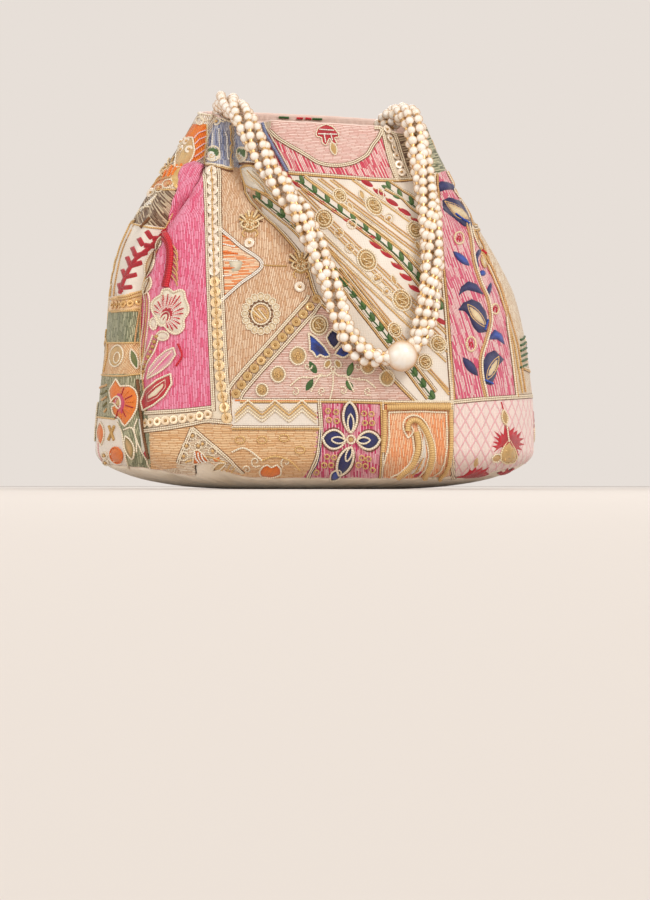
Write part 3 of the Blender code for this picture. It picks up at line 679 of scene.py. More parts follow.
ropePath, ropeRun = evenly(smoothLine(list(rope["left"]) + [rope["pearl"]] + list(rope["right"]), step=0.0005), 0.001)
ropeTangent = np.gradient(ropePath, axis=0)
ropeTangent /= np.linalg.norm(ropeTangent, axis=1, keepdims=True)
ropeSide = np.zeros_like(ropePath)
sideNow = Vector((0.0, 1.0, 0.0))
for k, direction in enumerate(ropeTangent):
    direction = Vector(direction)
    sideNow = (sideNow - direction * sideNow.dot(direction)).normalized()
    ropeSide[k] = sideNow
ropeUp = np.cross(ropeTangent, ropeSide)
pearlRun = ropeRun[np.argmin(np.linalg.norm(ropePath - np.array(rope["pearl"]), axis=1))]
random = np.random.default_rng(7)
pearlPlaces, spacerPlaces, corePoints, coreEdges = [], [], [], []
for strand in range(rope["strands"]):
    ends = np.minimum.reduce((np.abs(ropeRun - pearlRun) - 0.004, ropeRun, ropeRun[-1] - ropeRun)) / rope["pinchReach"]
    radius = rope["pinch"] + (rope["strandRadius"] - rope["pinch"]) * eased(ends)
    turn = tau * (strand / rope["strands"] + ropeRun / rope["turnLength"]) + 0.35 * np.sin(ropeRun * (90 + 11 * strand) + strand * 1.7)
    radius = radius * (1 + 0.07 * np.sin(ropeRun * (150 + 17 * strand) + strand))
    strandPath = ropePath + radius[:, None] * (np.cos(turn)[:, None] * ropeSide + np.sin(turn)[:, None] * ropeUp)
    places, runs = evenly(strandPath, rope["pitch"] / 2)
    offset = strand % 2
    core = evenly(strandPath, 0.003)[0]
    coreEdges += [(len(corePoints) + k, len(corePoints) + k + 1) for k in range(len(core) - 1)]
    corePoints.extend(core)
    pearlPlaces.append(places[offset::2])
    spacerPlaces.append(places[1 - offset::2])
pearlPlaces, spacerPlaces = np.concatenate(pearlPlaces), np.concatenate(spacerPlaces)

pearlMaterial, graph, shader = newMaterial("seed pearl", Roughness=0.2, Coat_Weight=0.35, Coat_Roughness=0.12, IOR=1.5)
where = graph.node("ShaderNodeTexCoord").out("Object")
cloud = graph.noise(where, 260.0)
fleck = graph.noise(where, 1900.0)
# painted shade: the pearl's colour turns a warm gold towards its outline, where the view grazes, painting its roundness
# and warm rim shade
edgeShadeShare = graph.node("ShaderNodeLayerWeight", None, {"Blend": 0.5}).out("Facing")
body = graph.mix(cloud.ease(0.35, 0.7), srgb(254, 248, 240), srgb(248, 236, 218))
graph.plug(shader["Base Color"], graph.mix(edgeShadeShare.ease(0.15, 0.9), body, srgb(214, 164, 108)))
graph.plug(shader["Roughness"], fleck * 0.12 + 0.14)
graph.plug(shader["Normal"], graph.bump(fleck, 0.00004, 0.5))

goldMaterial, graph, shader = newMaterial("gold bead", Metallic=0.9, Roughness=0.3)
where = graph.node("ShaderNodeTexCoord").out("Object")
fleck = graph.noise(where, 900.0)
graph.plug(shader["Base Color"], graph.mix(fleck, srgb(214, 160, 92), srgb(250, 222, 168)))
graph.plug(shader["Roughness"], fleck * 0.25 + 0.2)

count = len(pearlPlaces)
pearls = runTree("handle_pearls", placeTree, {"Shape": ball, "Material": pearlMaterial, "Wobble": 1.0, "Seed": 3},
                 pearlPlaces, [], {
    "facing": ("FLOAT_VECTOR", np.tile((0.0, 0.0, 1.0), (count, 1))),
    "size": ("FLOAT", rope["beadSize"] * (1 + 0.05 * random.standard_normal(count).clip(-1.5, 1.5))),
}, ("handle_rope_left", "handle_rope_right"))
count = len(spacerPlaces)
spacers = runTree("handle_spacers", placeTree, {"Shape": bead, "Material": goldMaterial, "Wobble": 1.0, "Seed": 4},
                  spacerPlaces, [], {
    "facing": ("FLOAT_VECTOR", np.tile((0.0, 0.0, 1.0), (count, 1))),
    "size": ("FLOAT", np.full(count, rope["spacerSize"])),
})

threadCount = len(corePoints)
coreThreads = runTree("handle_threads", twineTree, {"Sides": 5, "Material": goldMaterial}, corePoints, coreEdges, {
    "girth": ("FLOAT", np.full(threadCount, rope["coreRadius"])),
})

bigPearlMesh = bmesh.new()
bmesh.ops.create_uvsphere(bigPearlMesh, u_segments=48, v_segments=24, radius=rope["pearlSize"] / 2)
bmesh.ops.translate(bigPearlMesh, verts=bigPearlMesh.verts, vec=rope["pearl"])
mesh = bpy.data.meshes.new("handle_big_pearl")
bigPearlMesh.to_mesh(mesh)
bigPearlMesh.free()
mesh.shade_smooth()
mesh.materials.append(pearlMaterial)
bigPearl = bpy.data.objects.new("handle_big_pearl", mesh)
scene.collection.objects.link(bigPearl)
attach(bigPearl, "root")
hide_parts("handle_pearl")
[tuple(p) for p in evenly(ropePath, 0.006)[0]]
print("rope ready, length", round(float(ropeRun[-1]), 4), "pearls", len(pearlPlaces))


# the patchwork's panels
# Each has an outline, a stitch, two thread colours and the way its threads run, in degrees from level.
def across2(points):  # from degrees round the bag and millimetres up the cloth
    return [(math.radians(a) * cloth["uPerRadian"], v) for a, v in points]


panels = []


def panel(outline, stitch, colours, lean=90.0, seenIn="picture"):
    ring = fromPicture(straightLine(outline, closed=True, step=4.0)) if seenIn == "picture" else np.array(across2(outline), float)
    ring = ring[np.linalg.norm(ring - np.roll(ring, 1, axis=0), axis=1) > 0.05]
    panels.append({"ring": straightLine(ring, closed=True, step=1.1), "stitch": stitch, "colours": silk[colours], "lean": lean})


low, top = cloth["lowest"] - 1, 166.0
panel([(-181, low), (181, low), (181, top), (-181, top)], "running", "cream", 90, "round")
# the right side and the back, then the left
for outline, stitch, colours, lean in (
    ([(72, low), (112, low), (114, 42), (72, 40)], "lattice", "lattice", 90),
    ([(112, low), (150, low), (147, 56), (114, 50)], "running", "hotPink", 88),
    ([(150, low), (181, low), (181, 44), (148, 48)], "running", "peach", 0),
    (trace("84,38 114,42 110,112 84,112"), "running", "ivory", 80),
    (trace("114,42 148,48 140,124 110,118"), "hatch", "vinePink", 70),
    (trace("148,44 181,44 181,112 141,118"), "running", "ivory", 35),
    ([(80, 108), (118, 116), (120, top), (80, top)], "hatch", "moss", 10),
    ([(118, 116), (150, 118), (152, top), (120, top)], "running", "apricot", 90),
    ([(150, 114), (181, 112), (181, top), (152, top)], "hatch", "rose", 60),
    ([(-181, low), (-144, low), (-147, 50), (-181, 44)], "running", "orange", 90),
    ([(-144, low), (-108, low), (-110, 42), (-147, 50)], "running", "palePink", 0),
    (trace("-181,44 -147,50 -138,116 -181,112"), "hatch", "petalPink", 80),
    (trace("-147,50 -110,42 -104,108 -138,116"), "running", "peach", 90),
    ([(-108, low), (-72, low), (-72, 60), (-110, 42)], "running", "sage", 80),
    (trace("-110,42 -72,60 -72,125 -104,108"), "running", "ivory", 90),
    ([(-181, 112), (-138, 116), (-140, top), (-181, top)], "running", "blueGrey", 90),
    ([(-138, 116), (-104, 108), (-100, top), (-140, top)], "running", "ivory", 45),
    ([(-104, 108), (-72, 118), (-70, top), (-100, top)], "hatch", "bark", 20),
):
    panel(outline, stitch, colours, lean, "round")
# what the picture shows, from behind the rope outwards
for outline, stitch, colours, lean in (
    (trace("288,173 385,178 412,178 437,174 443,270 446,306 450,360 455,402 416,402 390,375 345,325 318,298 305,262 285,236 "
           "262,215 243,197 240,166"), "plain", "white", -36),
    (trace("216,166 262,166 262,215 285,236 305,262 318,298 232,396 227,400"), "running", "peach", 92),
    (trace("219,227 262.5,264.5 221,302"), "hatch", "fan", 4),
    (trace("238,402 318,299 345,325 390,375 416,402"), "running", "palePink", 0),
    (trace("192,168 186,180 179,195 170,219 165,228 154,258 142,290 140,340 142,372 146,415 213,408 204,166"), "running",
     "hotPink", 88),
    (trace("204,166 218.5,166 230,423 207,421 213,408"), "plain", "ecru", 90),
    (trace("143,413 214,407 231,423 207,422 191,425 143,432"), "plain", "ecru", 0),
    (trace("232,397 318,399 320,428 232,428"), "plain", "white", 90),
    (trace("143,431 191,424 231,424 231,480 205,462 182,467 150,471"), "running", "sand", 0),
    (trace("231,427 318,427 317,456 308,480 231,480"), "running", "sand", 0),
    (trace("192,428 177,466 184,477 197,477 199,463 205,460 243,474 218,449"), "running", "cream", 0),
    (trace("319,402 382,402 382,481 302,481 316,456"), "hatch", "petalPink", 93),
    (trace("382,404 452,404 452,481 382,481"), "running", "orange", 96),
    (trace("452,400 541,392 541,470 452,484"), "lattice", "lattice", 90),
    (trace("436,172 450,168 466,200 476,238 492,268 503,300 510,340 518,398 455,402 450,360 446,306 443,270"), "hatch",
     "vinePink", 103),
    (trace("449,160 466,200 476,238 492,268 503,300 510,340 518,398 536,398 540,330 520,300 500,240 470,200"), "running",
     "cream", 80),
    (trace("271,127 300,128 372,130 392,128 392,178 376,177 271,174 262,150"), "hatch", "rose", 116),
    (trace("271,130 277,138 289,145.5 304,154 319,163 335.5,165.6 350,163.7 359,160 368,154 372,146 378.5,138 382,128 374,122 "
           "270,118"), "running", "blush", 0),
    (trace("381,120 394,120 411,180 397,181"), "plain", "ecru", 0),
    (trace("394,118 412,118 424,178 411,180"), "hatch", "bark", 20),
    (trace("412,118 432,116 452,168 436,174 424,178"), "hatch", "sage", 2),
    (trace("234,117 262,116 268,170 232,168"), "running", "blueGrey", 84),
    (trace("214,118 230,118 229,168 203,166"), "running", "blueGrey", 100),
    (trace("190,118 214,108 206,165 192,165 180,166"), "running", "ivory", 60),
    (trace("184,138 193,124 205,124 206,140 205,155 195,163 176,166 176,152"), "running", "flame", 66),
    (trace("156,165 180,164 178,180 158,192 146,192"), "running", "apricot", 60),
    (trace("145,188 178,190 170,219 165,228 128,222"), "hatch", "bark", 140),
    (trace("128,222 165,228 154,258 142,290 118,297 112,280 120,240"), "plain", "white", 70),
    (trace("112,297 142,290 140,312 108,312"), "plain", "sand", 0),
    (trace("104,310 140,310 140,343 100,343"), "running", "sage", 84),
    (trace("100,343 140,343 142,376 96,376"), "running", "sand", 60),
    (trace("96,374 142,374 148,416 94,418"), "running", "moss", 88),
    (trace("94,416 148,416 151,471 118,471 94,466"), "running", "sage", 80),
    (trace("92,418 118,419 124,446 128,472 92,470"), "plain", "white", 90),
):
    panel(outline, stitch, colours, lean)
print("panels", len(panels))


# the cloth's meshes
def spotPlace(name):  # the cloth coordinates of an eyelet's centre
    centre = spotOf[name][0]
    near = np.linalg.norm(placeGrid - centre, axis=-1)
    j, i = np.unravel_index(np.argmin(near), near.shape)
    return np.array((gridU[i], gridV[j]))


def holeRing(name, count=24):
    centre, axis = spotOf[name]
    side = np.cross(axis, (0, 0, 1.0))
    side /= np.linalg.norm(side)
    up = np.cross(side, axis)
    middle = spotPlace(name)
    found = []
    around = sample(placeGrid, [middle + (1, 0), middle - (1, 0), middle + (0, 1), middle - (0, 1)])
    perU, perV = (around[0] - around[1]) * 500, (around[2] - around[3]) * 500
    matrix = np.array([[perU @ side, perV @ side], [perU @ up, perV @ up]])
    for k in range(count):
        want = eyelets["hole"] * 1000 * np.array((math.cos(tau * k / count), math.sin(tau * k / count)))
        at = middle + np.linalg.solve(matrix, want)
        for _ in range(6):
            spot = sample(placeGrid, at)[0] - centre
            miss = want - 1000 * np.array((spot @ side, spot @ up))
            at = at + np.linalg.solve(matrix, miss)
        found.append(at)
    return np.array(found)


holes = {name: holeRing(name) for name in eyelets["angles"]}


def clothSheet(spacing, backSpacing, extra, edge):
    points, edges = [], []

    def chain(run, closed):
        first = len(points)
        points.extend(map(tuple, run))
        edges.extend((first + k, first + k + 1) for k in range(len(run) - 1))
        if closed:
            edges.append((first + len(run) - 1, first))
        return list(range(first, first + len(run)))

    seam = [(u, float(seamV(u))) for u in edge]
    rim = [(u, cloth["wallSpan"]) for u in edge]
    sideV = np.linspace(float(seamV(uEdge)), cloth["wallSpan"], 90)[1:-1]
    outline = seam + [(uEdge, v) for v in sideV] + rim[::-1] + [(-uEdge, v) for v in sideV[::-1]]
    order = chain(outline, True)
    n, m = len(edge), len(sideV)
    keep = {"seam": order[:n], "rim": order[n + m:2 * n + m][::-1], "left": order[2 * n + m:][::-1], "right": order[n:n + m]}
    keep["holes"] = {name: chain(ring, True) for name, ring in holes.items()}
    row, v = 0, cloth["lowest"]
    inner = []
    rand = np.random.default_rng(11)
    while v < cloth["wallSpan"]:
        u = -uEdge
        while u < uEdge:
            step = spacing if abs(u) < 190 else backSpacing
            inner.append((u + (row % 2) * step / 2, v))
            u += step
        v += spacing * 0.87
        row += 1
    inner = np.array(inner) + rand.uniform(-0.12, 0.12, (len(inner), 2)) * spacing
    if len(extra):
        cells = set(map(tuple, np.floor(extra / 0.8).astype(int)))
        near = np.floor(inner / 0.8).astype(int)
        keepInner = np.array([tuple(c) not in cells for c in near])
        inner = np.concatenate((inner[keepInner], extra))
    margin = 0.55
    good = (np.abs(inner[:, 0]) < uEdge - margin) & (inner[:, 1] < cloth["wallSpan"] - margin) & (inner[:,
            1] > seamV(inner[:, 0]) + margin)
    for name, ring in holes.items():
        middle = ring.mean(axis=0)
        reach = np.linalg.norm(ring - middle, axis=1).max() + margin
        close = np.linalg.norm(inner - middle, axis=1) < reach
        if close.any():
            bigger = middle + (ring - middle) * 1.1
            good &= ~(close & inside(inner, bigger))
    points.extend(map(tuple, inner[good]))
    verts, _, faces, origin, _, _ = delaunay_2d_cdt([Vector(p) for p in points], edges, [], 0, 1e-5)
    verts = np.array([tuple(v) for v in verts])
    newOf = {}
    for k, olds in enumerate(origin):
        for old in olds:
            newOf[old] = k
    faces = np.array([f for f in faces if len(f) == 3])
    centre = verts[faces].mean(axis=1)
    ok = (centre[:, 1] > seamV(centre[:, 0])) & (centre[:, 1] < cloth["wallSpan"])
    for ring in holes.values():
        near = np.linalg.norm(centre - ring.mean(axis=0), axis=1) < 12
        hit = np.zeros(len(centre), bool)
        hit[near] = inside(centre[near], ring)
        ok &= ~hit
    faces = faces[ok]
    a, b, c = (verts[faces[:, k]] for k in range(3))
    flip = (b[:, 0] - a[:, 0]) * (c[:, 1] - a[:, 1]) - (b[:, 1] - a[:, 1]) * (c[:, 0] - a[:, 0]) < 0
    faces[flip] = faces[flip][:, ::-1]

    def renamed(kept):
        return {k: renamed(v) for k, v in kept.items()} if isinstance(kept, dict) else [newOf[k] for k in kept]

    return verts, faces, renamed(keep)


edgeU = np.concatenate((np.arange(-uEdge, -190, 2.0), np.arange(-190, 190, 1.2), np.arange(190, uEdge - 0.5, 2.0), [uEdge]))
outlinePoints = np.concatenate([p["ring"] for p in panels])
outlinePoints = outlinePoints[np.unique(np.floor(outlinePoints / 0.7), axis=0, return_index=True)[1]]
outerUv, outerFaces, outerKept = clothSheet(1.35, 2.1, outlinePoints, edgeU)
innerUv, innerFaces, innerKept = clothSheet(4.0, 5.0, np.zeros((0, 2)), edgeU)
outerPoints = onCloth(outerUv)[0]
innerOn, innerNormals = onCloth(innerUv)
thickness = 0.0016
innerPoints = innerOn - innerNormals * thickness
print("cloth", len(outerFaces), len(innerFaces))

faceCentre = outerUv[outerFaces].mean(axis=1)
panelOf = np.zeros(len(faceCentre), int)
for k, one in enumerate(panels):
    ring = one["ring"]
    lowest, highest = ring.min(axis=0), ring.max(axis=0)
    near = np.nonzero(((faceCentre >= lowest) & (faceCentre <= highest)).all(axis=1))[0]
    panelOf[near[inside(faceCentre[near], ring)]] = k

stitchOrder = ["running", "hatch", "lattice", "plain"]
shellPoints = list(map(tuple, outerPoints)) + list(map(tuple, innerPoints))
shift = len(outerPoints)
shellFaces = [tuple(f) for f in outerFaces] + [tuple(int(i) + shift for i in f[::-1]) for f in innerFaces]
cornerUv = []
alongOf = sample(alongGrid, outerUv)
threadA, threadB, faceMaterial = [], [], []
for face, number in zip(outerFaces, panelOf):
    one = panels[number]
    turn = math.radians(one["lean"])
    for i in face:
        x, y = alongOf[i], outerUv[i, 1]
        cornerUv.append((x * math.cos(turn) + y * math.sin(turn), -x * math.sin(turn) + y * math.cos(turn)))
        threadA.append(one["colours"][0])
        threadB.append(one["colours"][1])
    faceMaterial.append(stitchOrder.index(one["stitch"]))
rimRows = 4


def rolled(outerIds, innerIds, outwards, direction):
    rows = [list(outerIds)]
    a = np.array([shellPoints[i] for i in outerIds])
    b = np.array([shellPoints[i + shift] for i in innerIds])
    for k in range(1, rimRows):
        turn = math.pi * k / rimRows
        centre, reach = (a + b) / 2, (a - b) / 2
        ring = centre + reach * math.cos(turn) + direction * outwards * math.sin(turn)
        first = len(shellPoints)
        shellPoints.extend(map(tuple, ring))
        rows.append(list(range(first, first + len(ring))))
    rows.append([i + shift for i in innerIds])
    for low, high in zip(rows, rows[1:]):
        for k in range(len(low) - 1):
            shellFaces.append((low[k], low[k + 1], high[k + 1], high[k]))
    return rows


rolled(outerKept["rim"], innerKept["rim"], 0.0010, np.array((0, 0, 1.0)))
rolled(outerKept["seam"][::-1], innerKept["seam"][::-1], 0.0005, np.array((0, 0, -1.0)))
for name in holes:
    a, b = outerKept["holes"][name], [i + shift for i in innerKept["holes"][name]]
    for k in range(len(a)):
        n = (k + 1) % len(a)
        shellFaces.append((a[n], a[k], b[k], b[n]))
while len(faceMaterial) < len(shellFaces):
    faceMaterial.append(len(stitchOrder) - 1)
for face in shellFaces[len(outerFaces):]:
    for _ in face:
        cornerUv.append((0.0, 0.0))
        threadA.append(silk["palePink"][0])
        threadB.append(silk["palePink"][1])


# cloth materials
def threadColours(graph):
    return graph.attribute("threadA"), graph.attribute("threadB")


def stitchRows(graph, s, t, long, wide, wander):
    where = graph.vector(s * 0.12, t * 0.12)
    t = t + (graph.noise(where, 1.0) - 0.5) * wander
    row = (t / wide).floor()
    within = (t / wide).fract()
    start = graph.chance(row, 3.0)
    run = s / long + start * 7.0 + graph.chance(row, 9.0) * 0.2
    cell = run.floor()
    share = run.fract()
    round_ = 1 - ((within * 2 - 1).size()) ** 2.4
    endFade = (share * 8.0).least((1 - share) * 8.0).clamp()
    return row, cell, round_, endFade


def runningMaterial():
    material, graph, shader = newMaterial("running stitch silk", Roughness=0.62, Sheen_Weight=0.25, Specular_IOR_Level=0.3)
    s, t, _ = graph.split(graph.attribute("stitch", "Vector"))
    row, cell, round_, endFade = stitchRows(graph, s, t, 4.4, 0.8, 0.9)
    tone = graph.chance(row, cell)
    light, dark = threadColours(graph)
    height = round_ * (endFade * 0.4 + 0.6)
    broad = graph.noise(graph.vector(s * 0.03, t * 0.03), 1.0)
    body = graph.mix((tone * 0.95 + broad * 0.4 - 0.4).clamp(), light, dark)
    # painted shade: the low places between rows and at the stitch ends take a darker, browner colour, as painted shade
    # in the grooves
    gap = graph.mix(0.8, dark, srgb(206, 160, 128), "MULTIPLY")
    graph.plug(shader["Base Color"], graph.mix(height.ease(0.3, 0.85), gap, body))
    graph.plug(shader["Roughness"], 0.72 - height * 0.2)
    graph.plug(shader["Normal"], graph.bump(height + tone * 0.2, 0.00028, 0.9))
    return material


def hatchMaterial():
    material, graph, shader = newMaterial("satin stitch silk", Roughness=0.5, Sheen_Weight=0.3, Specular_IOR_Level=0.35)
    s, t, _ = graph.split(graph.attribute("stitch", "Vector"))
    row, cell, round_, endFade = stitchRows(graph, s, t, 5.0, 0.74, 0.8)
    tone = graph.chance(row, cell)
    light, dark = threadColours(graph)
    pale = (row * 0.5).fract().ease(0.1, 0.4)
    body = graph.mix((pale * 0.4 + tone * 0.9).ease(0.35, 0.85), light, dark)
    height = round_ * (endFade * 0.6 + 0.4)
    # painted shade: the low places between and at the ends of the stitches take a darker, browner colour, as painted
    # shade in the grooves
    gap = graph.mix(0.8, light, srgb(196, 150, 130), "MULTIPLY")
    graph.plug(shader["Base Color"], graph.mix(height.ease(0.1, 0.6), gap, body))
    graph.plug(shader["Roughness"], 0.62 - height * 0.2)
    graph.plug(shader["Normal"], graph.bump(height, 0.0003, 0.9))
    return material


def latticeMaterial():
    material, graph, shader = newMaterial("latticed silk", Roughness=0.6, Sheen_Weight=0.25)
    s, t, _ = graph.split(graph.attribute("stitch", "Vector"))
    row, cell, round_, endFade = stitchRows(graph, s, t, 4.2, 0.8, 1.0)
    light, dark = threadColours(graph)
    a = ((s * 0.62 + t) / 5.6).fract()
    b = ((s * 0.62 - t) / 5.6).fract()
    lines = ((a - 0.5).size().ease(0.09, 0.05)).most((b - 0.5).size().ease(0.09, 0.05))
    height = round_ * (endFade * 0.7 + 0.3)
    # painted shade: the colour goes dark where the stitch height falls, as painted shade between the rows
    ground = graph.mix(height.ease(0.1, 0.7), dark, light)
    graph.plug(shader["Base Color"], graph.mix(lines, ground, srgb(246, 186, 190)))
    graph.plug(shader["Normal"], graph.bump(height + lines * 1.4, 0.00025, 0.8))
    return material


def plainMaterial():
    material, graph, shader = newMaterial("ground silk", Roughness=0.5, Sheen_Weight=0.3)
    where = graph.node("ShaderNodeTexCoord").out("Object")
    light, dark = threadColours(graph)
    x, y, z = graph.split(where)
    weave = ((x + y) * 5200.0).sine() * 0.25 + (z * 5200.0).sine() * 0.25 + 0.5
    cloud = graph.noise(where, 90.0)
    graph.plug(shader["Base Color"], graph.mix(cloud * 0.8, light, dark))
    graph.plug(shader["Roughness"], cloud * 0.2 + 0.42)
    graph.plug(shader["Normal"], graph.bump(weave + cloud, 0.00012, 0.6))
    return material


patchwork = newPiece("patchwork", shellPoints, shellFaces, None, ("outer_shell",))
for made in (runningMaterial(), hatchMaterial(), latticeMaterial(), plainMaterial()):
    patchwork.data.materials.append(made)
patchwork.data.polygons.foreach_set("material_index", faceMaterial)
lay(patchwork.data, "stitch", cornerUv)
paint(patchwork.data, "threadA", threadA, "CORNER")
paint(patchwork.data, "threadB", threadB, "CORNER")
tidy = bmesh.new()
tidy.from_mesh(patchwork.data)
bmesh.ops.remove_doubles(tidy, verts=tidy.verts, dist=0.00002)
tidy.to_mesh(patchwork.data)
tidy.free()
print("patchwork faces", len(patchwork.data.polygons))


# couched cords, sequins and beads
twines, rounds, pads = [], {"sequin": [], "bead": []}, []
thread = {
    "cream": srgb(253, 240, 214), "gold": srgb(232, 192, 126), "oldGold": srgb(206, 164, 96), "tan": srgb(224, 178, 120),
    "white": srgb(255, 250, 240),
    "brown": srgb(128, 82, 42), "navy": srgb(18, 26, 84), "blue": srgb(34, 84, 190), "green": srgb(44, 96, 30),
    "red": srgb(212, 18, 42),
    "crimson": srgb(178, 10, 34), "orange": srgb(246, 122, 30), "pink": srgb(242, 110, 160), "magenta": srgb(214, 30, 92),
    "rose": srgb(230, 84, 120),
    "leaf": srgb(96, 132, 66), "flame": srgb(250, 136, 40), "blush": srgb(250, 220, 212), "palePink": srgb(250, 204, 204),
    "grey": srgb(206, 196, 170),
    "olive": srgb(126, 120, 62), "khaki": srgb(214, 184, 128), "slate": srgb(134, 146, 188), "pale": srgb(252, 232, 190),
    "indigo": srgb(28, 42, 112),
}


def metric(uv):  # millimetres along the cloth to each point of a line
    places = sample(placeGrid, uv)
    return np.concatenate(([0.0], np.cumsum(np.linalg.norm(np.diff(places, axis=0), axis=1)))) * 1000


def resampled(uv, spacing):
    uv = np.asarray(uv, float)
    fine = straightLine(uv, step=0.6) if len(uv) > 1 else uv
    run = metric(fine)
    if run[-1] < 1e-6:
        return fine[:1]
    at = np.linspace(0, run[-1], max(2, round(run[-1] / spacing) + 1))
    return np.stack([np.interp(at, run, fine[:, k]) for k in range(2)], axis=1)


def beside(uv, away):  # a line moved sideways by millimetres on the cloth
    places = sample(placeGrid, uv) * 1000
    ahead = np.gradient(places, axis=0)
    normals = sample(normalGrid, uv)
    side = np.cross(ahead, normals)
    side /= np.maximum(np.linalg.norm(side, axis=1, keepdims=True), 1e-9)
    perU = sample(placeGrid, uv + (0.5, 0)) * 1000 - sample(placeGrid, uv - (0.5, 0)) * 1000
    perV = sample(placeGrid, uv + (0, 0.5)) * 1000 - sample(placeGrid, uv - (0, 0.5)) * 1000
    want = side * away
    uu, vv, cross = (perU * perU).sum(1), (perV * perV).sum(1), (perU * perV).sum(1)
    a, b = (perU * want).sum(1), (perV * want).sum(1)
    det = np.maximum(uu * vv - cross * cross, 1e-9)
    return uv + np.stack(((a * vv - b * cross) / det, (b * uu - a * cross) / det), axis=1)


def cordOn(uv, colour="cream", girth=0.42, lift=None, spacing=1.25):
    uv = resampled(uv, spacing)
    if len(uv) > 1:
        twines.append((uv, thread[colour], girth, girth * 0.55 if lift is None else lift))


def pairOn(uv, colours=("cream", "cream"), gap=0.95, girth=0.42):
    uv = resampled(uv, 1.25)
    for side, colour in zip((-gap / 2, gap / 2), colours):
        cordOn(beside(uv, side), colour, girth)
    # thin brown strands laid low beside and between each pair: painted shadow lines along the cords
    for side in (-gap, 0, gap):
        cordOn(beside(uv, side * 1.02), "brown", 0.24, 0.05, 2.5)


def sequinsOn(uv, pitch=5.2, size=5.0, colours=("cream",), lift=0.45):
    uv = resampled(uv, pitch)
    for k, at in enumerate(uv):
        rounds["sequin"].append((at, size, thread[colours[k % len(colours)]], lift))
        rounds["bead"].append((at, 1.3, thread["oldGold"], lift + 0.35))


def drawn(points, smooth=True, closed=False):
    line = smoothLine(points, closed, 3.0) if smooth else straightLine(points, closed, 3.0)
    if closed:
        line = np.concatenate((line, line[:1]))
    return fromPicture(line)


# the seams between panels that the picture shows
for points, kind in (
    (trace("204,166 207,235 210,330 213.5,411"), "pair"), (trace("218.5,166 220,235 224,330 229,412 231,420"), "pair"),
    (trace("145,413 180,411 214,407.5"), "pair"), (trace("143,431 168,428 191,424 207,421 231,423"), "pair"),
    (trace("192,169 186,180 179,195 170,219 165,228 154,258 142,290 140,340 142,372 146,412"), "gold"),
    (trace("243,174 246,196 262,215 285,236 305,262 318,298 345,325 390,375 416,402"), "goldpair"),
    (trace("288,173 330,176 385,180 412,179 437,174"), "goldpair"),
    (trace("219,228 240,246 262.5,264.5 240,284 221,301"), "chain"),
    (trace("316,299 280,340 240,385 233,397"), "none"),
    (trace("240,401 300,401 345,401 380,402 416,403 452,403"), "goldpair"),
    (trace("232,428 275,428 320,428"), "goldpair"),
    (trace("319,401 321,428 317,456 308,478"), "pair"),
    (trace("382,402 383,440 380,478"), "goldpair"),
    (trace("450,360 452,400 451,440 452,479"), "pair"),
    (trace("452,402 484,399 517,397 532,396"), "pair"),
    (trace("436,174 441,250 446,306 450,360 453,400"), "tanpair"),
    (trace("450,170 466,203 476,240 492,270 503,300 510,340 517,397"), "tanpair"),
    (trace("270,131 277,138 289,145.5 304,154 319,163 335.5,165.6 350,163.7 359,160 368,154 372,146 378.5,138 382,130"), "pair"),
    (trace("381,123 386,145 391,165 397,181"), "pair"), (trace("392,123 399,145 405,165 411,180"), "pair"),
    (trace("203,164 215,167 231,170"), "gold"), ([(238, 164), (262, 168)], "gold"),
    (trace("206,125 205,140 203,165"), "gold"), ([(229.5, 126), (229, 168)], "gold"),
    ([(180, 166), (158, 166)], "gold"), ([(148, 190), (176, 190)], "gold"),
    (trace("128,222 145,227 165,229"), "gold"), (trace("118,297 128,296 142,291"), "gold"),
    (trace("112,312 126,311 140,311"), "gold"),
    (trace("108,343 124,343 140,343"), "gold"), (trace("100,375 120,376 142,374"), "gold"), ([(97, 417), (115, 419)], "gold"),
    (trace("192,428 185,445 178,463"), "pair"), (trace("192,428 206,440 218,450 232,462 243,473"), "pair"),
):
    uv = drawn(points)
    if kind == "pair":
        pairOn(uv)
    elif kind == "goldpair":
        pairOn(uv, ("cream", "gold"))
    elif kind == "tanpair":
        pairOn(uv, ("tan", "cream"), 1.3, 0.55)
    elif kind == "chain":
        pairOn(uv, ("white", "white"), 0.8, 0.4)
    elif kind == "gold":
        cordOn(uv, "gold", 0.45)

# sequin strips
sequinsOn(drawn(trace("211.5,171 213,230 214.5,271")), 5.2, 5.6, ("white",), 0.5)
sequinsOn(drawn(trace("215,282 216,300 219.7,370 224,405 226.7,418")), 5.2, 5.4, ("pale",), 0.5)
cordOn(drawn(trace("211.5,168 213,230 216,300 219.7,370 224,405 226.7,420")), "gold", 0.3, 1.1)
sequinsOn(drawn(trace("146,423 163,421 188,418 208,414.5")), 4.4, 4.8, ("cream",))
sequinsOn(drawn(trace("317,299 290,329 262,360 247,377 236,394")), 5.0, 4.7, ("khaki",))
for side in (-1, 1):
    pairOn(beside(resampled(drawn(trace("316,299 280,340 240,385 233,397")), 1.25), side * 3.4), ("cream", "cream"), 0.9, 0.42)
sequinsOn(drawn(trace("386,130 391,146 395.5,156 402,173")), 5.0, 4.8, ("white",), 1.0)

# the seams at the sides and back
for outline in (
    trace("112,-14 114,42 148,48 181,44"), trace("72,40 84,39 114,42 110,112 84,112"), trace("150,-14 148,48 141,116"),
    trace("80,109 118,116 150,118 181,112"), [(118, 116), (120, 163)], [(150, 118), (152, 163)],
    trace("-144,-14 -147,50 -138,116 -140,163"), trace("-108,-14 -110,42 -104,108 -100,163"),
    trace("-181,44 -147,50 -110,42 -84,54"), trace("-181,112 -138,116 -104,108 -84,114"),
):
    uv = np.array(across2(outline))
    uv[:, 0] = uv[:, 0].clip(-uEdge + 0.5, uEdge - 0.5)
    pairOn(uv, ("cream", "gold"), 1.0, 0.45)


seamCount = len(twines)


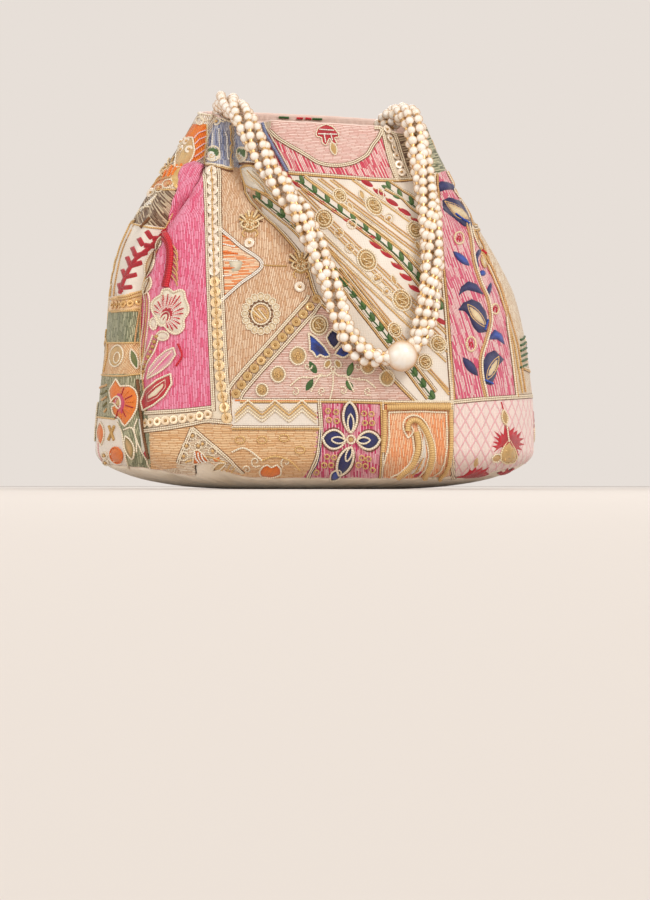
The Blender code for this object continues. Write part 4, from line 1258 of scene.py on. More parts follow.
# embroidered motifs
def flatAt(degrees, v):  # a drawing board on the side or back: half millimetres, y down
    u = math.radians(degrees) * cloth["uPerRadian"]
    near = sample(alongGrid, [(u + 2, v), (u - 2, v)])
    stretch = max(0.3, float(near[0] - near[1]) / 4)
    return lambda points: np.array([(u + x * 0.5 / stretch, v - y * 0.5) for x, y in points])


def lens(x0, y0, x1, y1, wide, fat=0.8, steps=7):  # a pointed leaf between two places
    a, b = np.array((x0, y0), float), np.array((x1, y1), float)
    side = np.array((a[1] - b[1], b[0] - a[0])) / max(np.linalg.norm(b - a), 1e-6)
    half = [(a + (b - a) * t, side * wide / 2 * math.sin(math.pi * t) ** fat) for t in np.linspace(0, 1, steps)]
    return [tuple(c + s) for c, s in half] + [tuple(c - s) for c, s in half[-2:0:-1]]


def oval(x, y, rx, ry, turn=0.0, count=14):
    c, s = math.cos(math.radians(turn)), math.sin(math.radians(turn))
    return [(x + rx * math.cos(a) * c - ry * math.sin(a) * s, y + rx * math.cos(a) * s + ry * math.sin(a) * c)
            for a in np.arange(count) * tau / count]


def line(points, colour="cream", girth=0.45, at=fromPicture, smooth=True, closed=False, lift=None):
    run = smoothLine(points, closed, 2.5) if smooth and len(points) > 2 else straightLine(points, closed, 2.5)
    if closed:
        run = np.concatenate((run, run[:1]))
    cordOn(at(run), colour, girth, lift)


def pad(outline, colour, inner=None, high=0.6, lean=90.0, edge=None, girth=0.42, at=fromPicture):
    ring = at(straightLine(outline, True, 2.0))
    pads.append((ring, thread[colour], thread[inner or colour], high, lean))
    if edge:
        cordOn(np.concatenate((ring, ring[:1])), edge, girth, high * 0.3 + girth * 0.6)


def sequin(x, y, size=5.0, colour="cream", at=fromPicture, centre="gold"):
    place = at([(x, y)])[0]
    rounds["sequin"].append((place, size, thread[colour], 0.45))
    rounds["bead"].append((place, 1.5, thread[centre], 0.8))


def dots(points, size=1.6, colour="gold", at=fromPicture, lift=0.5):
    for place in at(points):
        rounds["bead"].append((place, size, thread[colour], lift))


def scribble(x, y, rx, ry, strokes, colour="gold", turn=30.0, at=fromPicture, girth=0.34):
    c, s = math.cos(math.radians(turn)), math.sin(math.radians(turn))
    points = []
    for k in range(strokes + 1):
        a = -1 + 2 * k / strokes
        half = math.sqrt(max(0.04, 1 - a * a)) * (1 if k % 2 else -1)
        px, py = a * rx, half * ry
        points.append((x + px * c - py * s, y + px * s + py * c))
    line(points, colour, girth, at, smooth=False, lift=0.85)


def goldOval(x, y, rx, ry, turn=0.0, at=fromPicture, edge="cream", fill="tan"):
    pad(oval(x, y, rx * 0.9, ry * 0.9, turn), "khaki", fill, 0.4, turn + 50, None, 0.4, at)
    line(oval(x, y, rx, ry, turn), edge, 0.5, at, closed=True)
    line(oval(x, y, rx * 0.7, ry * 0.7, turn), "pale", 0.4, at, closed=True, lift=0.7)
    scribble(x, y, rx * 0.5, ry * 0.55, 5, "oldGold", turn + 20, at)
    scribble(x + 0.6, y, rx * 0.5, ry * 0.5, 4, "pale", turn - 50, at)


def sunburst(x, y, inner=9.6, outer=20.0, petals=16, at=fromPicture):
    line(oval(x, y, inner, inner * 1.12), "cream", 0.5, at, closed=True)
    line(oval(x, y, inner - 2.4, inner * 1.1 - 2.4), "gold", 0.4, at, closed=True)
    dots(oval(x, y, inner + 1.8, (inner + 1.8) * 1.1, 0, 18), 1.3, "brown", at, 0.5)
    for k in range(-2, 3):
        line([(x - 6 + k * 3.2, y - 6 + abs(k)), (x + 4 + k * 2.0, y + 7 - abs(k))], "cream" if k % 2 else "gold", 0.42, at)
    for k in range(petals):
        a = tau * k / petals
        c, s = math.cos(a), math.sin(a) * 1.08
        pad(lens(x + c * (inner + 2.6), y + s * (inner + 2.6), x + c * outer, y + s * outer, 6.6, 0.45), "gold", "cream", 0.8,
            -math.degrees(a), "cream", 0.34, at)


def spray(x, y, reach=13.0, at=fromPicture, turn=0.0):  # the small gold flowers; the sequin below each is set separately by the caller
    pad(oval(x, y + 1, 8, 8), "oldGold", "gold", 0.7, 40, None, 0.4, at)
    for k, degrees in enumerate((-75, -52, -30, -10, 10, 30, 52, 75)):
        a = math.radians(degrees + turn)
        far = reach * (1.0 if k % 2 else 0.86)
        line([(x + 3 * math.sin(a), y - 3 * math.cos(a)), (x + far * math.sin(a * 0.9), y - far * math.cos(a * 0.9))],
             "pale" if k % 2 else "gold", 0.6, at, lift=0.7)
        line([(x + 5 * math.sin(a), y - 4 * math.cos(a)), (x + far * math.sin(a), y - far * math.cos(a) + 1)], "brown", 0.25,
             at, lift=0.3)
    for dx, dy, r in trace("-5,1,4 5,1,4 0,3,4.5 0,-3,3.5"):
        line(oval(x + dx, y + dy, r, r * 0.8), "oldGold" if dy < 0 else "pale", 0.5, at, closed=True, lift=1.0)
    dots(oval(x, y, 5.5, 4.5, 0, 9) + [(x, y)], 1.5, "tan", at, 1.1)
    for side in (-1, 1):
        line([(x + side * 3, y + 4), (x + side * 8, y + 9), (x + side * 5, y + 13)], "gold", 0.45, at)


def ringRow(points, r, colour="cream", at=fromPicture, centreColour="gold"):
    for x, y in points:
        line(oval(x, y, r, r, 0, 10), colour, 0.42, at, closed=True)
    if centreColour:
        dots(points, 1.9, centreColour, at)


def spaced(x0, y0, x1, y1, count):
    return [(x0 + (x1 - x0) * k / (count - 1), y0 + (y1 - y0) * k / (count - 1)) for k in range(count)]


def redDash(x, y, dx=6.6, dy=3.7, wide=5.0, at=fromPicture):
    pad(lens(x - dx, y - dy, x + dx, y + dy, wide, 0.6), "red", "crimson", 0.6, 30, None, 0.3, at)
    line([(x - dx, y - dy - 1), (x + dx * 0.4, y - dy * 0.2 + 1.5)], "tan", 0.28, at)


def arrowLeaf(x, y, at=fromPicture, flip=1, size=1.0):
    pad(lens(x - 1.5 * flip, y - 5.5 * size, x + 3 * flip, y + 4.5, 4.6, 0.6), "green", "leaf", 0.6, 70, None, 0.3, at)
    pad(lens(x - 6.5 * flip, y + 0.5, x + 2 * flip, y + 4.5, 3.8, 0.6), "green", "leaf", 0.55, 20, None, 0.3, at)


def leafLine(points, at=fromPicture, flip=1):
    for x, y in points:
        arrowLeaf(x, y, at, flip)
    line([(x + 1.5 * flip, y + 4) for x, y in points], "green", 0.3, at, smooth=False)


def carnation(x, y, size=1.0, at=fromPicture):  # a scalloped flower seen from the side
    def put(points):
        return [(x + size * px, y + size * py) for px, py in points]

    edge = ((-5.8, -26), (0.4, -27), (5.2, -23.3), (10, -25.7), (15.3, -24.8), (17, -17), (20, -9.5), (19.6, -2.7), (15.3, 4),
            (15.7, 10.7), (12, 16.4),
            (6.2, 18.3), (0.4, 15.4), (-4, 10), (-9, 9.7), (-12, 3), (-16.3, -5.6), (-16.3, -13.3), (-12, -18), (-7.2, -21))
    outline = [tuple(p) for p in smoothLine(put(edge), True, 2.0)]
    pad(outline, "cream", "white", 0.7, 60, "cream", 0.6, at)
    for k, (px, py) in enumerate(edge):
        if k not in (13, 14, 15):
            for share in (-0.08, 0.0, 0.08):
                far = 0.8 - abs(share)
                line(put([(-3 + (px + 3) * 0.3, py * 0.3), (-3 + (px + 3) * far - share * py, py * far + share * px)]),
                     "red" if share == 0 else "blush", 0.3, at, lift=0.85)
    pad(put(oval(-1.5, -1, 7.5, 10.5, 25)), "red", "crimson", 1.0, 80, None, 0.4, at)
    pad(put(oval(-4, 3, 4.6, 8.2, 28)), "cream", "cream", 1.2, 80, "cream", 0.5, at)
    pad(put(oval(-4, 3, 2.4, 5.6, 28)), "red", "crimson", 1.5, 80, None, 0.4, at)
    for px, py, rx, ry in trace("-15,8,3.4,6 -6,20,6.2,4.6"):
        pad(put(oval(px, py, rx, ry)), "blush", "cream", 0.7, 60, "cream", 0.5, at)


def vineLeaf(x0, y0, x1, y1, wide=8.0, colour="navy", at=fromPicture, edge=None):
    pad(lens(x0, y0, x1, y1, wide, 0.6), colour, "blue", 0.7, 60, edge, 0.4, at)
    line([(x0 + (x1 - x0) * 0.15, y0 + (y1 - y0) * 0.15), (x0 + (x1 - x0) * 0.8, y0 + (y1 - y0) * 0.8)], "gold", 0.3, at, lift=0.8)


def paisley(x, y, size=1.0, turn=0.0, at=fromPicture, colour="navy", heart="gold"):
    shape = ((0, -17), (-4, -13), (-8, -7), (-11, 0), (-10, 8), (-5, 13), (2, 14), (8, 10), (11, 3), (9, -4), (4, -8), (1, -12))
    c, s = math.cos(math.radians(turn)), math.sin(math.radians(turn))

    def put(points, k):
        return [(x + size * k * (px * c - py * s), y + size * k * (px * s + py * c)) for px, py in points]

    pad(put(shape, 1.0), colour, "blue", 0.7, 50, "blue", 0.4, at)
    heartLine = ((-1, -8), (-5, -3), (-6, 4), (-3, 9), (2, 9), (5, 5), (6, 0), (3, -4))
    pad(put(heartLine, 0.92), heart, "cream", 0.9, 20, "cream", 0.4, at)


def spiral(x, y, r=5.0, turn=0.0, colour="cream", at=fromPicture, girth=0.42, flip=1):
    line([(x + flip * r * (1 - k / 14) * math.cos(math.radians(turn) + k * 0.62),
           y + r * (1 - k / 14) * math.sin(math.radians(turn) + k * 0.62))
          for k in range(12)], colour, girth, at)


# dashes along the inside of the back rim, then the half disc
backRow = len(gridV) - 5
backPlaces = placeGrid[backRow]
for x0, x1, colour in ((277, 288, "green"), (296, 302, "red"), (305, 312, "red"), (313, 321, "green")):
    ends = []
    for x in (x0, x1):
        away = np.abs(backPlaces[:, 0] - (x - camera["middleColumn"]) * camera["metresPerPixel"] * 1.02) + 9 * (backPlaces[:, 1] < 0)
        ends.append((gridU[np.argmin(away)], gridV[backRow] + 1.2))
    cordOn(straightLine(ends, step=1.0), colour, 0.6, -2.0)
pad(trace("316,133 318,128 326,124.5 333,127 338.5,134 338.8,137.5 334,138 337.5,144.5 333,144 329.5,138 326,145.5 322.5,144 "
          "321.5,137.5 316.5,137"), "red", "crimson", 0.7, 70, "cream", 0.38)
for a, b in (((319, 130), (334, 131)), ((324, 134), (325.5, 143)), ((330.5, 134), (332.5, 141)), ((318, 134.5), (337, 135))):
    line([a, b], "white", 0.3, lift=0.9)
pad(lens(331.5, 142, 335.5, 156, 6.5), "gold", "oldGold", 0.7, 80, "cream", 0.38)
# the blue lobes
for x, y in ((213.5, 154), (241, 155)):
    pad(oval(x, y, 6.2, 7.6, 10), "cream", "white", 0.4, 0, "cream", 0.5)
    pad([(x - 5, y - 1), (x - 4, y - 5.5), (x, y - 7), (x + 4.5, y - 5), (x + 5.5, y), (x + 4, y + 4), (x + 1, y + 3),
         (x - 0.5, y - 1)], "leaf", "green", 0.8, 50)
    spiral(x - 1.5, y + 1.8, 2.8, 0, "gold", girth=0.4)
ringRow(trace("222.5,119.5 227.5,118 232.5,118.5"), 2.4, "cream", centreColour=None)
line(trace("203,165 215,167.5 231,172"), "brown", 0.5)
line(trace("204,163 216,165 230,168.5"), "cream", 0.5)
for x in range(207, 230, 3):
    line([(x, 128 + abs(x - 218) * 0.6), (x + (218 - x) * -0.25, 160)], "white" if x % 2 else "slate", 0.36, lift=0.15)
line(trace("238,164.5 250,164 262,167"), "brown", 0.6)
line(trace("238,162.8 250,162.4 262,165"), "cream", 0.45)
pad(trace("241,168 250,166 262,170 274,186 284,203 272,197 256,190 245,186 241,178"), "white", "cream", 1.0, -40, "gold", 0.55)
for k in range(4):
    line([(244 + 4 * k, 171 + 0.5 * k), (256 + 5 * k, 184 + 2.5 * k), (264 + 5 * k, 193 + 3 * k)], "gold" if k % 2 else "cream",
         0.34, lift=1.1)
line(trace("261,123.5 274,148 287,172"), "slate", 0.9)
line(trace("263.5,123 277,147 289.5,171"), "cream", 0.4)
# upper left: leaf with sequins, feather, rings
pad(trace("175,167 177,154 182,144 188,138 193,138 193.5,150 191,160 186,168"), "tan", "gold", 0.5, 80, "cream", 0.5)
for x, y in trace("187,141.5 181.5,150 189,149.5"):
    sequin(x, y, 4.6, "white")
for k in range(5):
    line([(206, 130 + 6.5 * k), (199, 133 + 6.5 * k), (194, 139 + 6 * k)], "palePink", 0.36, lift=0.3)
line(trace("206.5,124 206.5,140 203.5,163"), "cream", 0.45)
line(oval(206, 117, 5.5, 4), "cream", 0.45, closed=True)
line(oval(200, 121, 3.5, 4), "cream", 0.42, closed=True)
ringRow([(217, 121.5)], 3.4)
for k in range(4):
    line([(163 + 4.5 * k, 179 - 2 * k), (168 + 4.5 * k, 167 - k)], "flame", 0.7, lift=0.3)
for x, y, rx, ry in trace("168,184,5.5,4.2 159,188.5,4.5,3.6 174,178.5,3.6,3 151,192,3.5,3"):
    line(oval(x, y, rx, ry, -25), "cream", 0.42, closed=True)
dots([(168, 184), (159, 188.5)], 2.2, "tan")
line(trace("147,190 160,180 176,176"), "tan", 0.5)
line(trace("150,218 145.5,223 141,228"), "brown", 0.9)
for k in range(5):
    line([(137 + 3.5 * k, 215 - 3 * k), (142 + 3.5 * k, 208 - 3 * k), (149 + 2 * k, 207 - 3 * k)],
         "white" if k % 2 else "cream", 0.55, lift=0.4)
# ivory panel
for x, y in spaced(286, 176, 372, 237, 8) + trace("376,245 387,254 397.5,266 406,277 415,288.5 424,299 433,310 441,321"):
    redDash(x, y)
for x, y in spaced(367, 183, 430, 231, 6):
    redDash(x, y)
leafLine(spaced(301, 180, 378, 236, 7) + trace("389.5,246 401,256.6 410,267 419,276.6 430,290 440.5,305"))
leafLine(trace("387.6,184.7 399,194 411,200.5 423,210 434,220"))
leafLine(trace("257,195 269.5,204 282,213.4 296,225 309,238 322,254"))
leafLine(trace("336,271 345,282 354,293 363,305 372,317 381,326.5 389.5,338.5 402,356 414.5,372 423,383 432,395"))
for a, b in (((305, 178), (443, 282)), ((318, 179), (443, 274)), ((330, 180), (440, 262)), ((352, 180), (438, 243)),
             ((300, 222), (446, 362)), ((308, 222), (447, 352)),
             ((290, 222), (448, 392)), ((326, 247), (449, 395)), ((298, 190), (447, 335)), ((286, 186), (447, 345))):
    line([a, b], "gold", 0.42, smooth=False)
    line([(a[0] + 3.0, a[1] - 0.6), (b[0] + 0.5, b[1] - 3.0)], "tan" if (a[0] // 2) % 2 else "cream", 0.36, smooth=False)
for points in (trace("301,180 378,236 410,266 441,305"), trace("387.6,184.7 411,200.5 434,220"), trace("257,195 296,225 322,254"),
               trace("336,271 372,317 402,356 432,395")):
    for side in (-1, 1):
        pairOn(beside(resampled(drawn(points), 1.25), side * 2.7), ("cream", "gold"), 0.8, 0.36)
for x, y, rx, ry, turn in trace("374,206,7,10.5,-38 324,219,9,9.5,0 367,260,9,11.5,-30 402,300,9,11,-30 438,344,7.5,9,-30 "
                                "415,230,7,9,-35 340,196,6,8,-40 395,330,6,8,-30 425,362,7,8,-30"):
    goldOval(x, y, rx, ry, turn)
ringRow(trace("339,233 350,248 378,278 387,291 376,279 420,320 352,224 389,218 428,330 412,344"), 4.6)
for x, y in trace("362,195 394,280 350,207 381,193 418,246 428,262"):
    pad(lens(x - 2, y - 5, x + 2, y + 5, 5), "tan", "gold", 0.4, 80, "cream", 0.36)
# hot pink panel
line(trace("163,230 169,240 171.5,252 170,270 166.6,287"), "red", 1.5, lift=0.6)
line(trace("160,234 167,244 168.5,256 167,272 163.5,287"), "crimson", 1.0, lift=0.5)
for k in range(7):
    line([(171 + (k < 3) * 0.5, 244 + 5.2 * k), (176 + (k % 2), 250 + 5.2 * k), (177.5, 256 + 5 * k)], "tan", 0.42, lift=0.4)
for x0, y0, x1, y1, wide in trace("146,277,154,250,9.5 144.5,294,151,277,8 156,250,162,236,6"):
    pad(lens(x0, y0, x1, y1, wide), "tan", "cream", 0.7, 60, "cream", 0.5)
    line([(x0, y0), ((x0 + x1) / 2 + 1, (y0 + y1) / 2), (x1, y1)], "brown", 0.3, lift=0.9)
carnation(169, 316)
for off, colour in ((0, "cream"), (3, "gold"), (5.5, "cream")):
    line([(141.5 + off, 289), (144.5 + off, 300), (143.5 + off, 322), (140.5 + off, 345), (140 + off * 0.6, 366)], colour, 0.45)
for off in (0, 7):
    line([(153 + off, 335), (148 + off, 350), (142 + off * 0.8, 364), (141 + off * 0.3, 380)], "cream", 0.5)
dots(trace("156.5,337 154.5,342 153,347 151,352 149,357 147,362 145,367 144,372"), 2.4, "oldGold")
pad(trace("174,348 176,355 170,364 160,372 148,379 150,369 157,359 166,351"), "palePink", "pink", 0.8, 40, "cream", 0.5)
line(trace("172,352 162,362 150,376"), "cream", 0.4, lift=1.0)
pad(trace("171,374 172,384 165,396 154,405 143,411 140,402 146,390 157,380"), "red", "crimson", 0.8, 40, "cream", 0.55)
pad(trace("166,380 166,388 158,397 149,402 148,395 156,386"), "tan", "cream", 1.0, 40, "cream", 0.4)
line(trace("178,344 182,356 176,366"), "red", 0.6)
# beige panel
spray(250, 224)
sequin(249.6, 243, 5.4, "white")
spray(301, 265, 15)
sequin(300, 287, 5.4, "white")
sunburst(261, 314)
line(trace("262,265 276,266 287,266"), "oldGold", 0.35)
for k in range(6):
    line([(223, 236 + 8 * k), (232 + 3 * min(k, 5 - k), 240 + 7 * k)], "white" if k % 2 else "orange", 0.4, lift=0.2)
pad(trace("229,262 236,259 243,262 240,270 232,272"), "grey", "cream", 0.5, 10)
# pink triangle with a lotus
goldOval(319, 325, 9, 10, 0)
pad(trace("308.5,333 313,336 324,346 330.5,356 325,357.5 320,355 316,358 313,352 310,351 310,343"), "blue", "navy", 0.8, 40,
    "cream", 0.55)
pad(trace("332.5,329.5 338,333 341,339 338,345 334,349 329,344 326.5,338 329,333"), "navy", "navy", 0.9, 80, "cream", 0.55)
pad(trace("344,343 349,347 350.8,353 346,357 343,358 338,356 334.5,354 338,349"), "blue", "navy", 0.8, 30, "cream", 0.55)
for x, y, turn in trace("327.6,364,30 338,364,-30"):
    pad(oval(x, y, 3, 4.6, turn), "gold", "oldGold", 0.6, 60, "cream", 0.45)
line(oval(333, 369, 2.2, 2.6), "cream", 0.5, closed=True)
for x0, y0, x1, y1 in trace("309.5,361,316,374 353,362,347.5,377 306,391,313,379 353,391,346,380"):
    pad(lens(x0, y0, x1, y1, 6.5), "green", "leaf", 0.7, 60)
for points in (trace("333,371 327,376 320,376 315,383 311,392"), trace("333,371 339,376 346,376 350,384 354,392"),
               trace("333,372 333,385 330,399"), trace("306,377 312,378 322,374"), trace("360,378 354,379 344,375"),
               trace("290,386 300,378 308,378"), trace("376,388 366,380 358,380")):
    line(points, "cream", 0.45)
for x, y, r in trace("298,356,9 278,374.5,8 387,378,8 368,366,8 262,390,6.5"):
    pad(oval(x, y, r * 0.9, r), "khaki", "tan", 0.5, 30, "cream", 0.5)
    scribble(x, y, r * 0.5, r * 0.6, 5, "gold", 15)
for x, y in trace("295,392 322,391 343,391 368,391 308,366 358,366"):
    spiral(x, y, 4.5, x * 7 % 360)
# zigzag strip
zig = trace("235,417 248,405.5 262,417 275,405.5 289,417 302,405.5 316,418")
for off, colour, girth in ((-5.2, "cream", 0.5), (5.2, "cream", 0.5), (-1.7, "gold", 0.5), (1.7, "pale", 0.45)):
    line([(x, y + off) for x, y in zig], colour, girth, smooth=False)
line(trace("235,400.5 276,400.5 316,401"), "flame", 0.35)
# tan panel below
pad(trace("260,471 263,466 268,464 272,467 277,464 281,468 281,474 272,477 262,476"), "orange", "flame", 0.7, 60, "cream", 0.45)
spiral(256, 461, 6, 40)
spiral(247, 469, 4, 200)
spiral(286, 462, 5.5, 120)
line(trace("232,452 243,448 252,452 262,460"), "cream", 0.5)
line(trace("262,460 275,456 289,460 300,470"), "gold", 0.5)
for x, y in trace("240,440 262,440 284,438 300,450"):
    line(oval(x, y, 5, 3.5), "gold", 0.4, closed=True)
line(trace("321,430 319,456 311,474"), "navy", 0.42)
# the triangle motif and stripes at the lower left
ringRow(trace("192.5,436 186.5,446 198.5,446"), 3.8)
ringRow(trace("184,456 203,444 213,451"), 4.2)
pad(trace("194,451 198,449.5 204,454 210,461 205,461.5 193.5,464"), "orange", "flame", 0.6, -40, "cream", 0.42)
for k in range(3):
    line([(195 + 3.5 * k, 451.5 + 0.8 * k), (196 + 3.8 * k, 457 + 0.6 * k), (200 + 3.6 * k, 461.5)], "white", 0.42, lift=0.9)
pad(trace("213,459 220,456.5 220,461 215,461.5"), "flame", "orange", 0.5, -40)
line(trace("186,462 205,456 225,462"), "gold", 0.42)
pad(lens(213, 470, 226, 462, 6), "tan", "gold", 0.5, 10, "cream", 0.42)
for k in range(3):
    line([(222 + 5 * k, 470 + k), (226 + 5 * k, 462 + 2 * k)], "gold", 0.42)
# petals panel
for x0, y0, x1, y1, wide, ix, iy, inner in trace("351,433,349.5,401.5,14,350.5,414,6 345.5,441,322.5,438,19,331,439.5,6.5 "
                                                 "357,441,380,440,18,370,440,6.5 351.5,447,338.5,475,14,346,461,5.5"):
    pad(lens(x0, y0, x1, y1, wide, 0.62, 9), "navy", "indigo", 0.8, 70, "cream", 0.62)
    line(lens(x0, y0, ix, iy, inner, 0.7, 7), "cream", 0.46, closed=True, lift=1.1)
    line(lens(x0, y0, x1 + (x1 - x0) * 0.07, y1 + (y1 - y0) * 0.07, wide + 4.5, 0.6, 9), "brown", 0.25, closed=True, lift=0.1)
line(oval(351, 439.5, 4.2, 4.2), "cream", 0.55, closed=True)
pad(oval(351, 439.5, 2.6, 2.6), "gold", "oldGold", 0.8, 0)
pad(lens(330, 480, 341, 470, 9), "navy", "blue", 0.7, 30, "cream", 0.42)
for x, y in trace("328,411 336,412 329,420 336.6,421 364,413.5 371.5,414 365,423 372,423 327,456.6 334,457.5 324,465 331,465 "
                  "361.5,458 368,459 358,465 365,466 372,470 316,472"):
    line(oval(x, y, 2.6, 2.6, 0, 8), "gold", 0.42, closed=True)
# orange paisley panel
for points, colour, girth in (
    (trace("385,401.5 418,401.5 452,401.5"), "cream", 0.5), (trace("389,412.5 418,411.5 446,412.5"), "cream", 0.5),
    (trace("389,412 389,438 387,452 383,464"), "cream", 0.5), (trace("384.5,410 384.5,436 382.5,452"), "gold", 1.1),
    (trace("446,412 447,440 446,452 441,468 431,478"), "cream", 0.5),
    (trace("450.5,410 451,440 450,455 446,470 438,479"), "gold", 1.1),
    (trace("387,407.5 418,407 450,407.5"), "gold", 1.5), (trace("408,438 403.5,429 404,421 409.6,416 418,416 425,422 430,432 "
                                                                    "434,443.5 435,456.7 432,467 426,477"), "cream", 0.55),
    (trace("408,438 412.5,434 413,429 410.5,426.5"), "cream", 0.5), (trace("407.5,431 408,424 412,420.5 418,421 424,428 "
                                                                                   "429,439 431.5,450 430,463 423,477"), "gold", 1.5),
    (trace("418,425 424,434 427.5,447 428,458 424,469 417,477"), "cream", 0.5),
    (trace("412.7,436 414,451 408.6,464 398.4,473 389,477"), "cream", 0.5),
    (trace("416.5,432 418.5,446 415,459 407,469 397,477"), "gold", 1.5),
    (trace("418,427 421,436 422,450 417,462 409,471 403,477"), "cream", 0.5),
):
    line(points, colour, girth)
pad(trace("423.4,434 425.4,443 426,456.7 423,467 416.7,475 410,474 418,464 422.5,452"), "white", "cream", 0.4, 80)
for k in range(4):
    line([(412 + 2.2 * k, 474 - 3 * k), (418 + 1.6 * k, 470 - 4 * k)], "tan", 0.36, lift=0.6)
for x, y in ((403.5, 475), (416.5, 475)):
    pad(lens(x - 4, y + 2.5, x + 5, y - 3.5, 4), "magenta", "crimson", 0.7, 60)
# lattice panel with a red spiky flower
line([(501, 402), (503.5, 411)], "red", 0.35)
pad(lens(503, 410, 505.5, 425, 6), "tan", "oldGold", 0.7, 90, "pale", 0.4)
pad(trace("507,448 501,447 493,453 496.5,448.5 491.5,446 498,445 492,441.5 499,442 493,436 499.5,438.5 493.5,430.5 501.5,436 "
          "500,431 503.5,435.5 504.5,424 507,430 508.5,425.5 509.5,431 514,427 513,433 517.5,430 516,436 521.5,431 518.5,438 "
          "524,438.5 519,442 524.5,444.5 518.5,446 522,450.5 517,449 519,456 513,450"), "red", "crimson", 0.8, 60)
line(trace("506,425 507,434 508,442"), "cream", 0.4, lift=1.0)
pad(trace("505,444 508.5,439 511.5,445 514.5,450 516.5,457 513,462 505,463.5 500,460 499.5,455 502,449"), "gold", "oldGold",
    1.0, 60, "pale", 0.42)
ringRow(trace("505.5,451 510.5,449 508,456 512.5,456 504,459 509.5,460"), 2.0, "pale")
pad(oval(496, 458, 5, 3.6, -30), "gold", "tan", 0.6, 20, "cream", 0.42)
pad(trace("453,477.5 461,475.5 468,472 466.5,467.5 471,471 475,466.5 476,470.5 482,466.5 481,470.5 488.5,467 485,472 489,474 "
          "478,477 466,478.5"), "red", "crimson", 0.7, 70)
pad(trace("496,473.5 501,471 503,472.5 507,467.5 509,471 514,467.5 512,472.5 517,470 513,475 503,476"), "red", "crimson", 0.7, 70)
pad(lens(474.5, 468, 476.5, 457.5, 4), "gold", "tan", 0.5, 80)
# vine panel
for outline, colour in (
    (trace("436,185 441,181 448,182 455,186 459,192 451,189.5 445,190 439,192"), "indigo"),
    (trace("442.5,200 449,197 459,200.5 467,213 472,226 464,226.5 455,219 443,210"), "indigo"),
    (lens(453, 251, 470, 266, 7.5), "blue"), (trace("481,246 476.5,252 474,260 476,270 479,267 478,258 482,250"), "indigo"),
    (oval(482.5, 273, 3.4, 3), "blue"), (trace("458.5,296 461,287 468,281 477,284 484,295 476,292 468,290 463,292"), "indigo"),
    (trace("458,310 463,302.5 472,299 480,302.5 485.5,311 488,322 486.5,332 478.5,333 473,327 469.5,317 465,311"), "indigo"),
    (trace("487,339.5 494.7,329 501.5,334 505,345 497,339.5"), "blue"), (lens(462.5, 357, 478, 376, 9), "indigo"),
    (trace("504,359.5 494.7,350 487,353.5 482.5,362 481.5,373 484.5,384 491.5,385 496,375.5 498.5,365.5"), "indigo"),
    (lens(491, 282, 487.5, 297, 4.5), "indigo"),
):
    pad(outline, "navy" if colour == "indigo" else "indigo", colour, 0.7, 70)
for x0, y0, x1, y1, wide in trace("445,201.5,469,222,9.5 467,304.5,485.5,328,9 498,356.5,486,380,8 482,252,484,268,5"):
    pad(lens(x0, y0, x1, y1, wide), "tan", "pale", 1.0, 30, "gold", 0.36)
for x0, y0, x1, y1 in trace("455,214,468,224 484,330,487,320 484,380,492,384"):
    line([(x0, y0), (x1, y1)], "blue", 0.5, lift=1.0)
stem = trace("466,222 470,240 473,262 480,284 487,300 489.5,321 485,340 480,358 480.5,376 485,397")
for off in (0, 2.4):
    line([(x + off, y) for x, y in stem], "cream" if off else "tan", 0.6)
for x, y, rx, ry in trace("459,238,4.6,6 471,344,4.6,7.4 495,309,3.6,5"):
    line(oval(x, y, rx, ry), "pale", 0.5, closed=True)
    line([(x - 1.5, y + 2), (x - 1, y - 2), (x + 1.5, y - 1), (x + 1, y + 3)], "red", 0.4)
# the strip at the right edge
for a, b in (((474, 233), (499, 291)), ((499, 291), (514, 344)), ((514, 344), (522, 393))):
    for off in (0, 3.2):
        line([(a[0] + off, a[1] - off * 0.3), (b[0] + off, b[1] - off * 0.3)], "tan" if off else "gold", 0.55, smooth=False)
for k in range(6):
    line([(520, 340 + 5.5 * k), (526.5, 337 + 5.5 * k)], "green", 0.6)
line([(482, 250), (487, 254)], "red", 0.8)
# the left side
for x0, y0, x1, y1, wide in trace("161,236,147,250,4.4 148,249,136,258.5,4.4 137,257,131,266,4.2 131.5,265,125,277,4 "
                                "125.6,276,121,288,3.8 121.4,287,120,294,3.4 152,238.5,161,238.5,5 143.6,245.4,155,246.5,5 "
                                "136,256,147.5,252.5,5 130.6,266,142.2,262.5,5 125.5,277,137,274.5,4.6 120.6,288,132.3,287,4.6 "
                                "146,231,151.5,239,5 138.6,238,143,246,5 132,247,136,256.5,4.6 127,256.5,130.6,266.5,4.6 "
                                "122.4,269,125.4,278.5,4.2 118.8,283,121.5,292.5,4"):
    a, b = (x0, y0), (x1, y1)
    across = np.array([a[1] - b[1], b[0] - a[0]]) * 0.5 * wide / math.dist(a, b)
    pad([tuple(np.array(end) + side * across) for end, side in ((a, 1), (b, 1), (b, -1), (a, -1))], "red", "crimson", 0.8, 10)
line(trace("129,224 118,250 112,280 110,296"), "gold", 0.55)
line(trace("134,225 123,250 116,280 114,296"), "tan", 0.45)
sequinsOn(drawn(trace("113,305 126,304 138,302")), 4.0, 4.0, ("gold",))
for points in (trace("110,299 125,299 142,295"), trace("110,311 125,311 140,309")):
    line(points, "gold", 0.5)
line(trace("139,312 136,330 134,346"), "tan", 0.5)
pad(oval(117, 356, 6.5, 11, 12), "gold", "tan", 0.6, 60, "cream", 0.5)
line(oval(118, 358, 3, 5.5, 12), "cream", 0.42, closed=True, lift=0.8)
pad(lens(131, 349, 137, 370, 7), "leaf", "olive", 0.6, 70, "cream", 0.42)
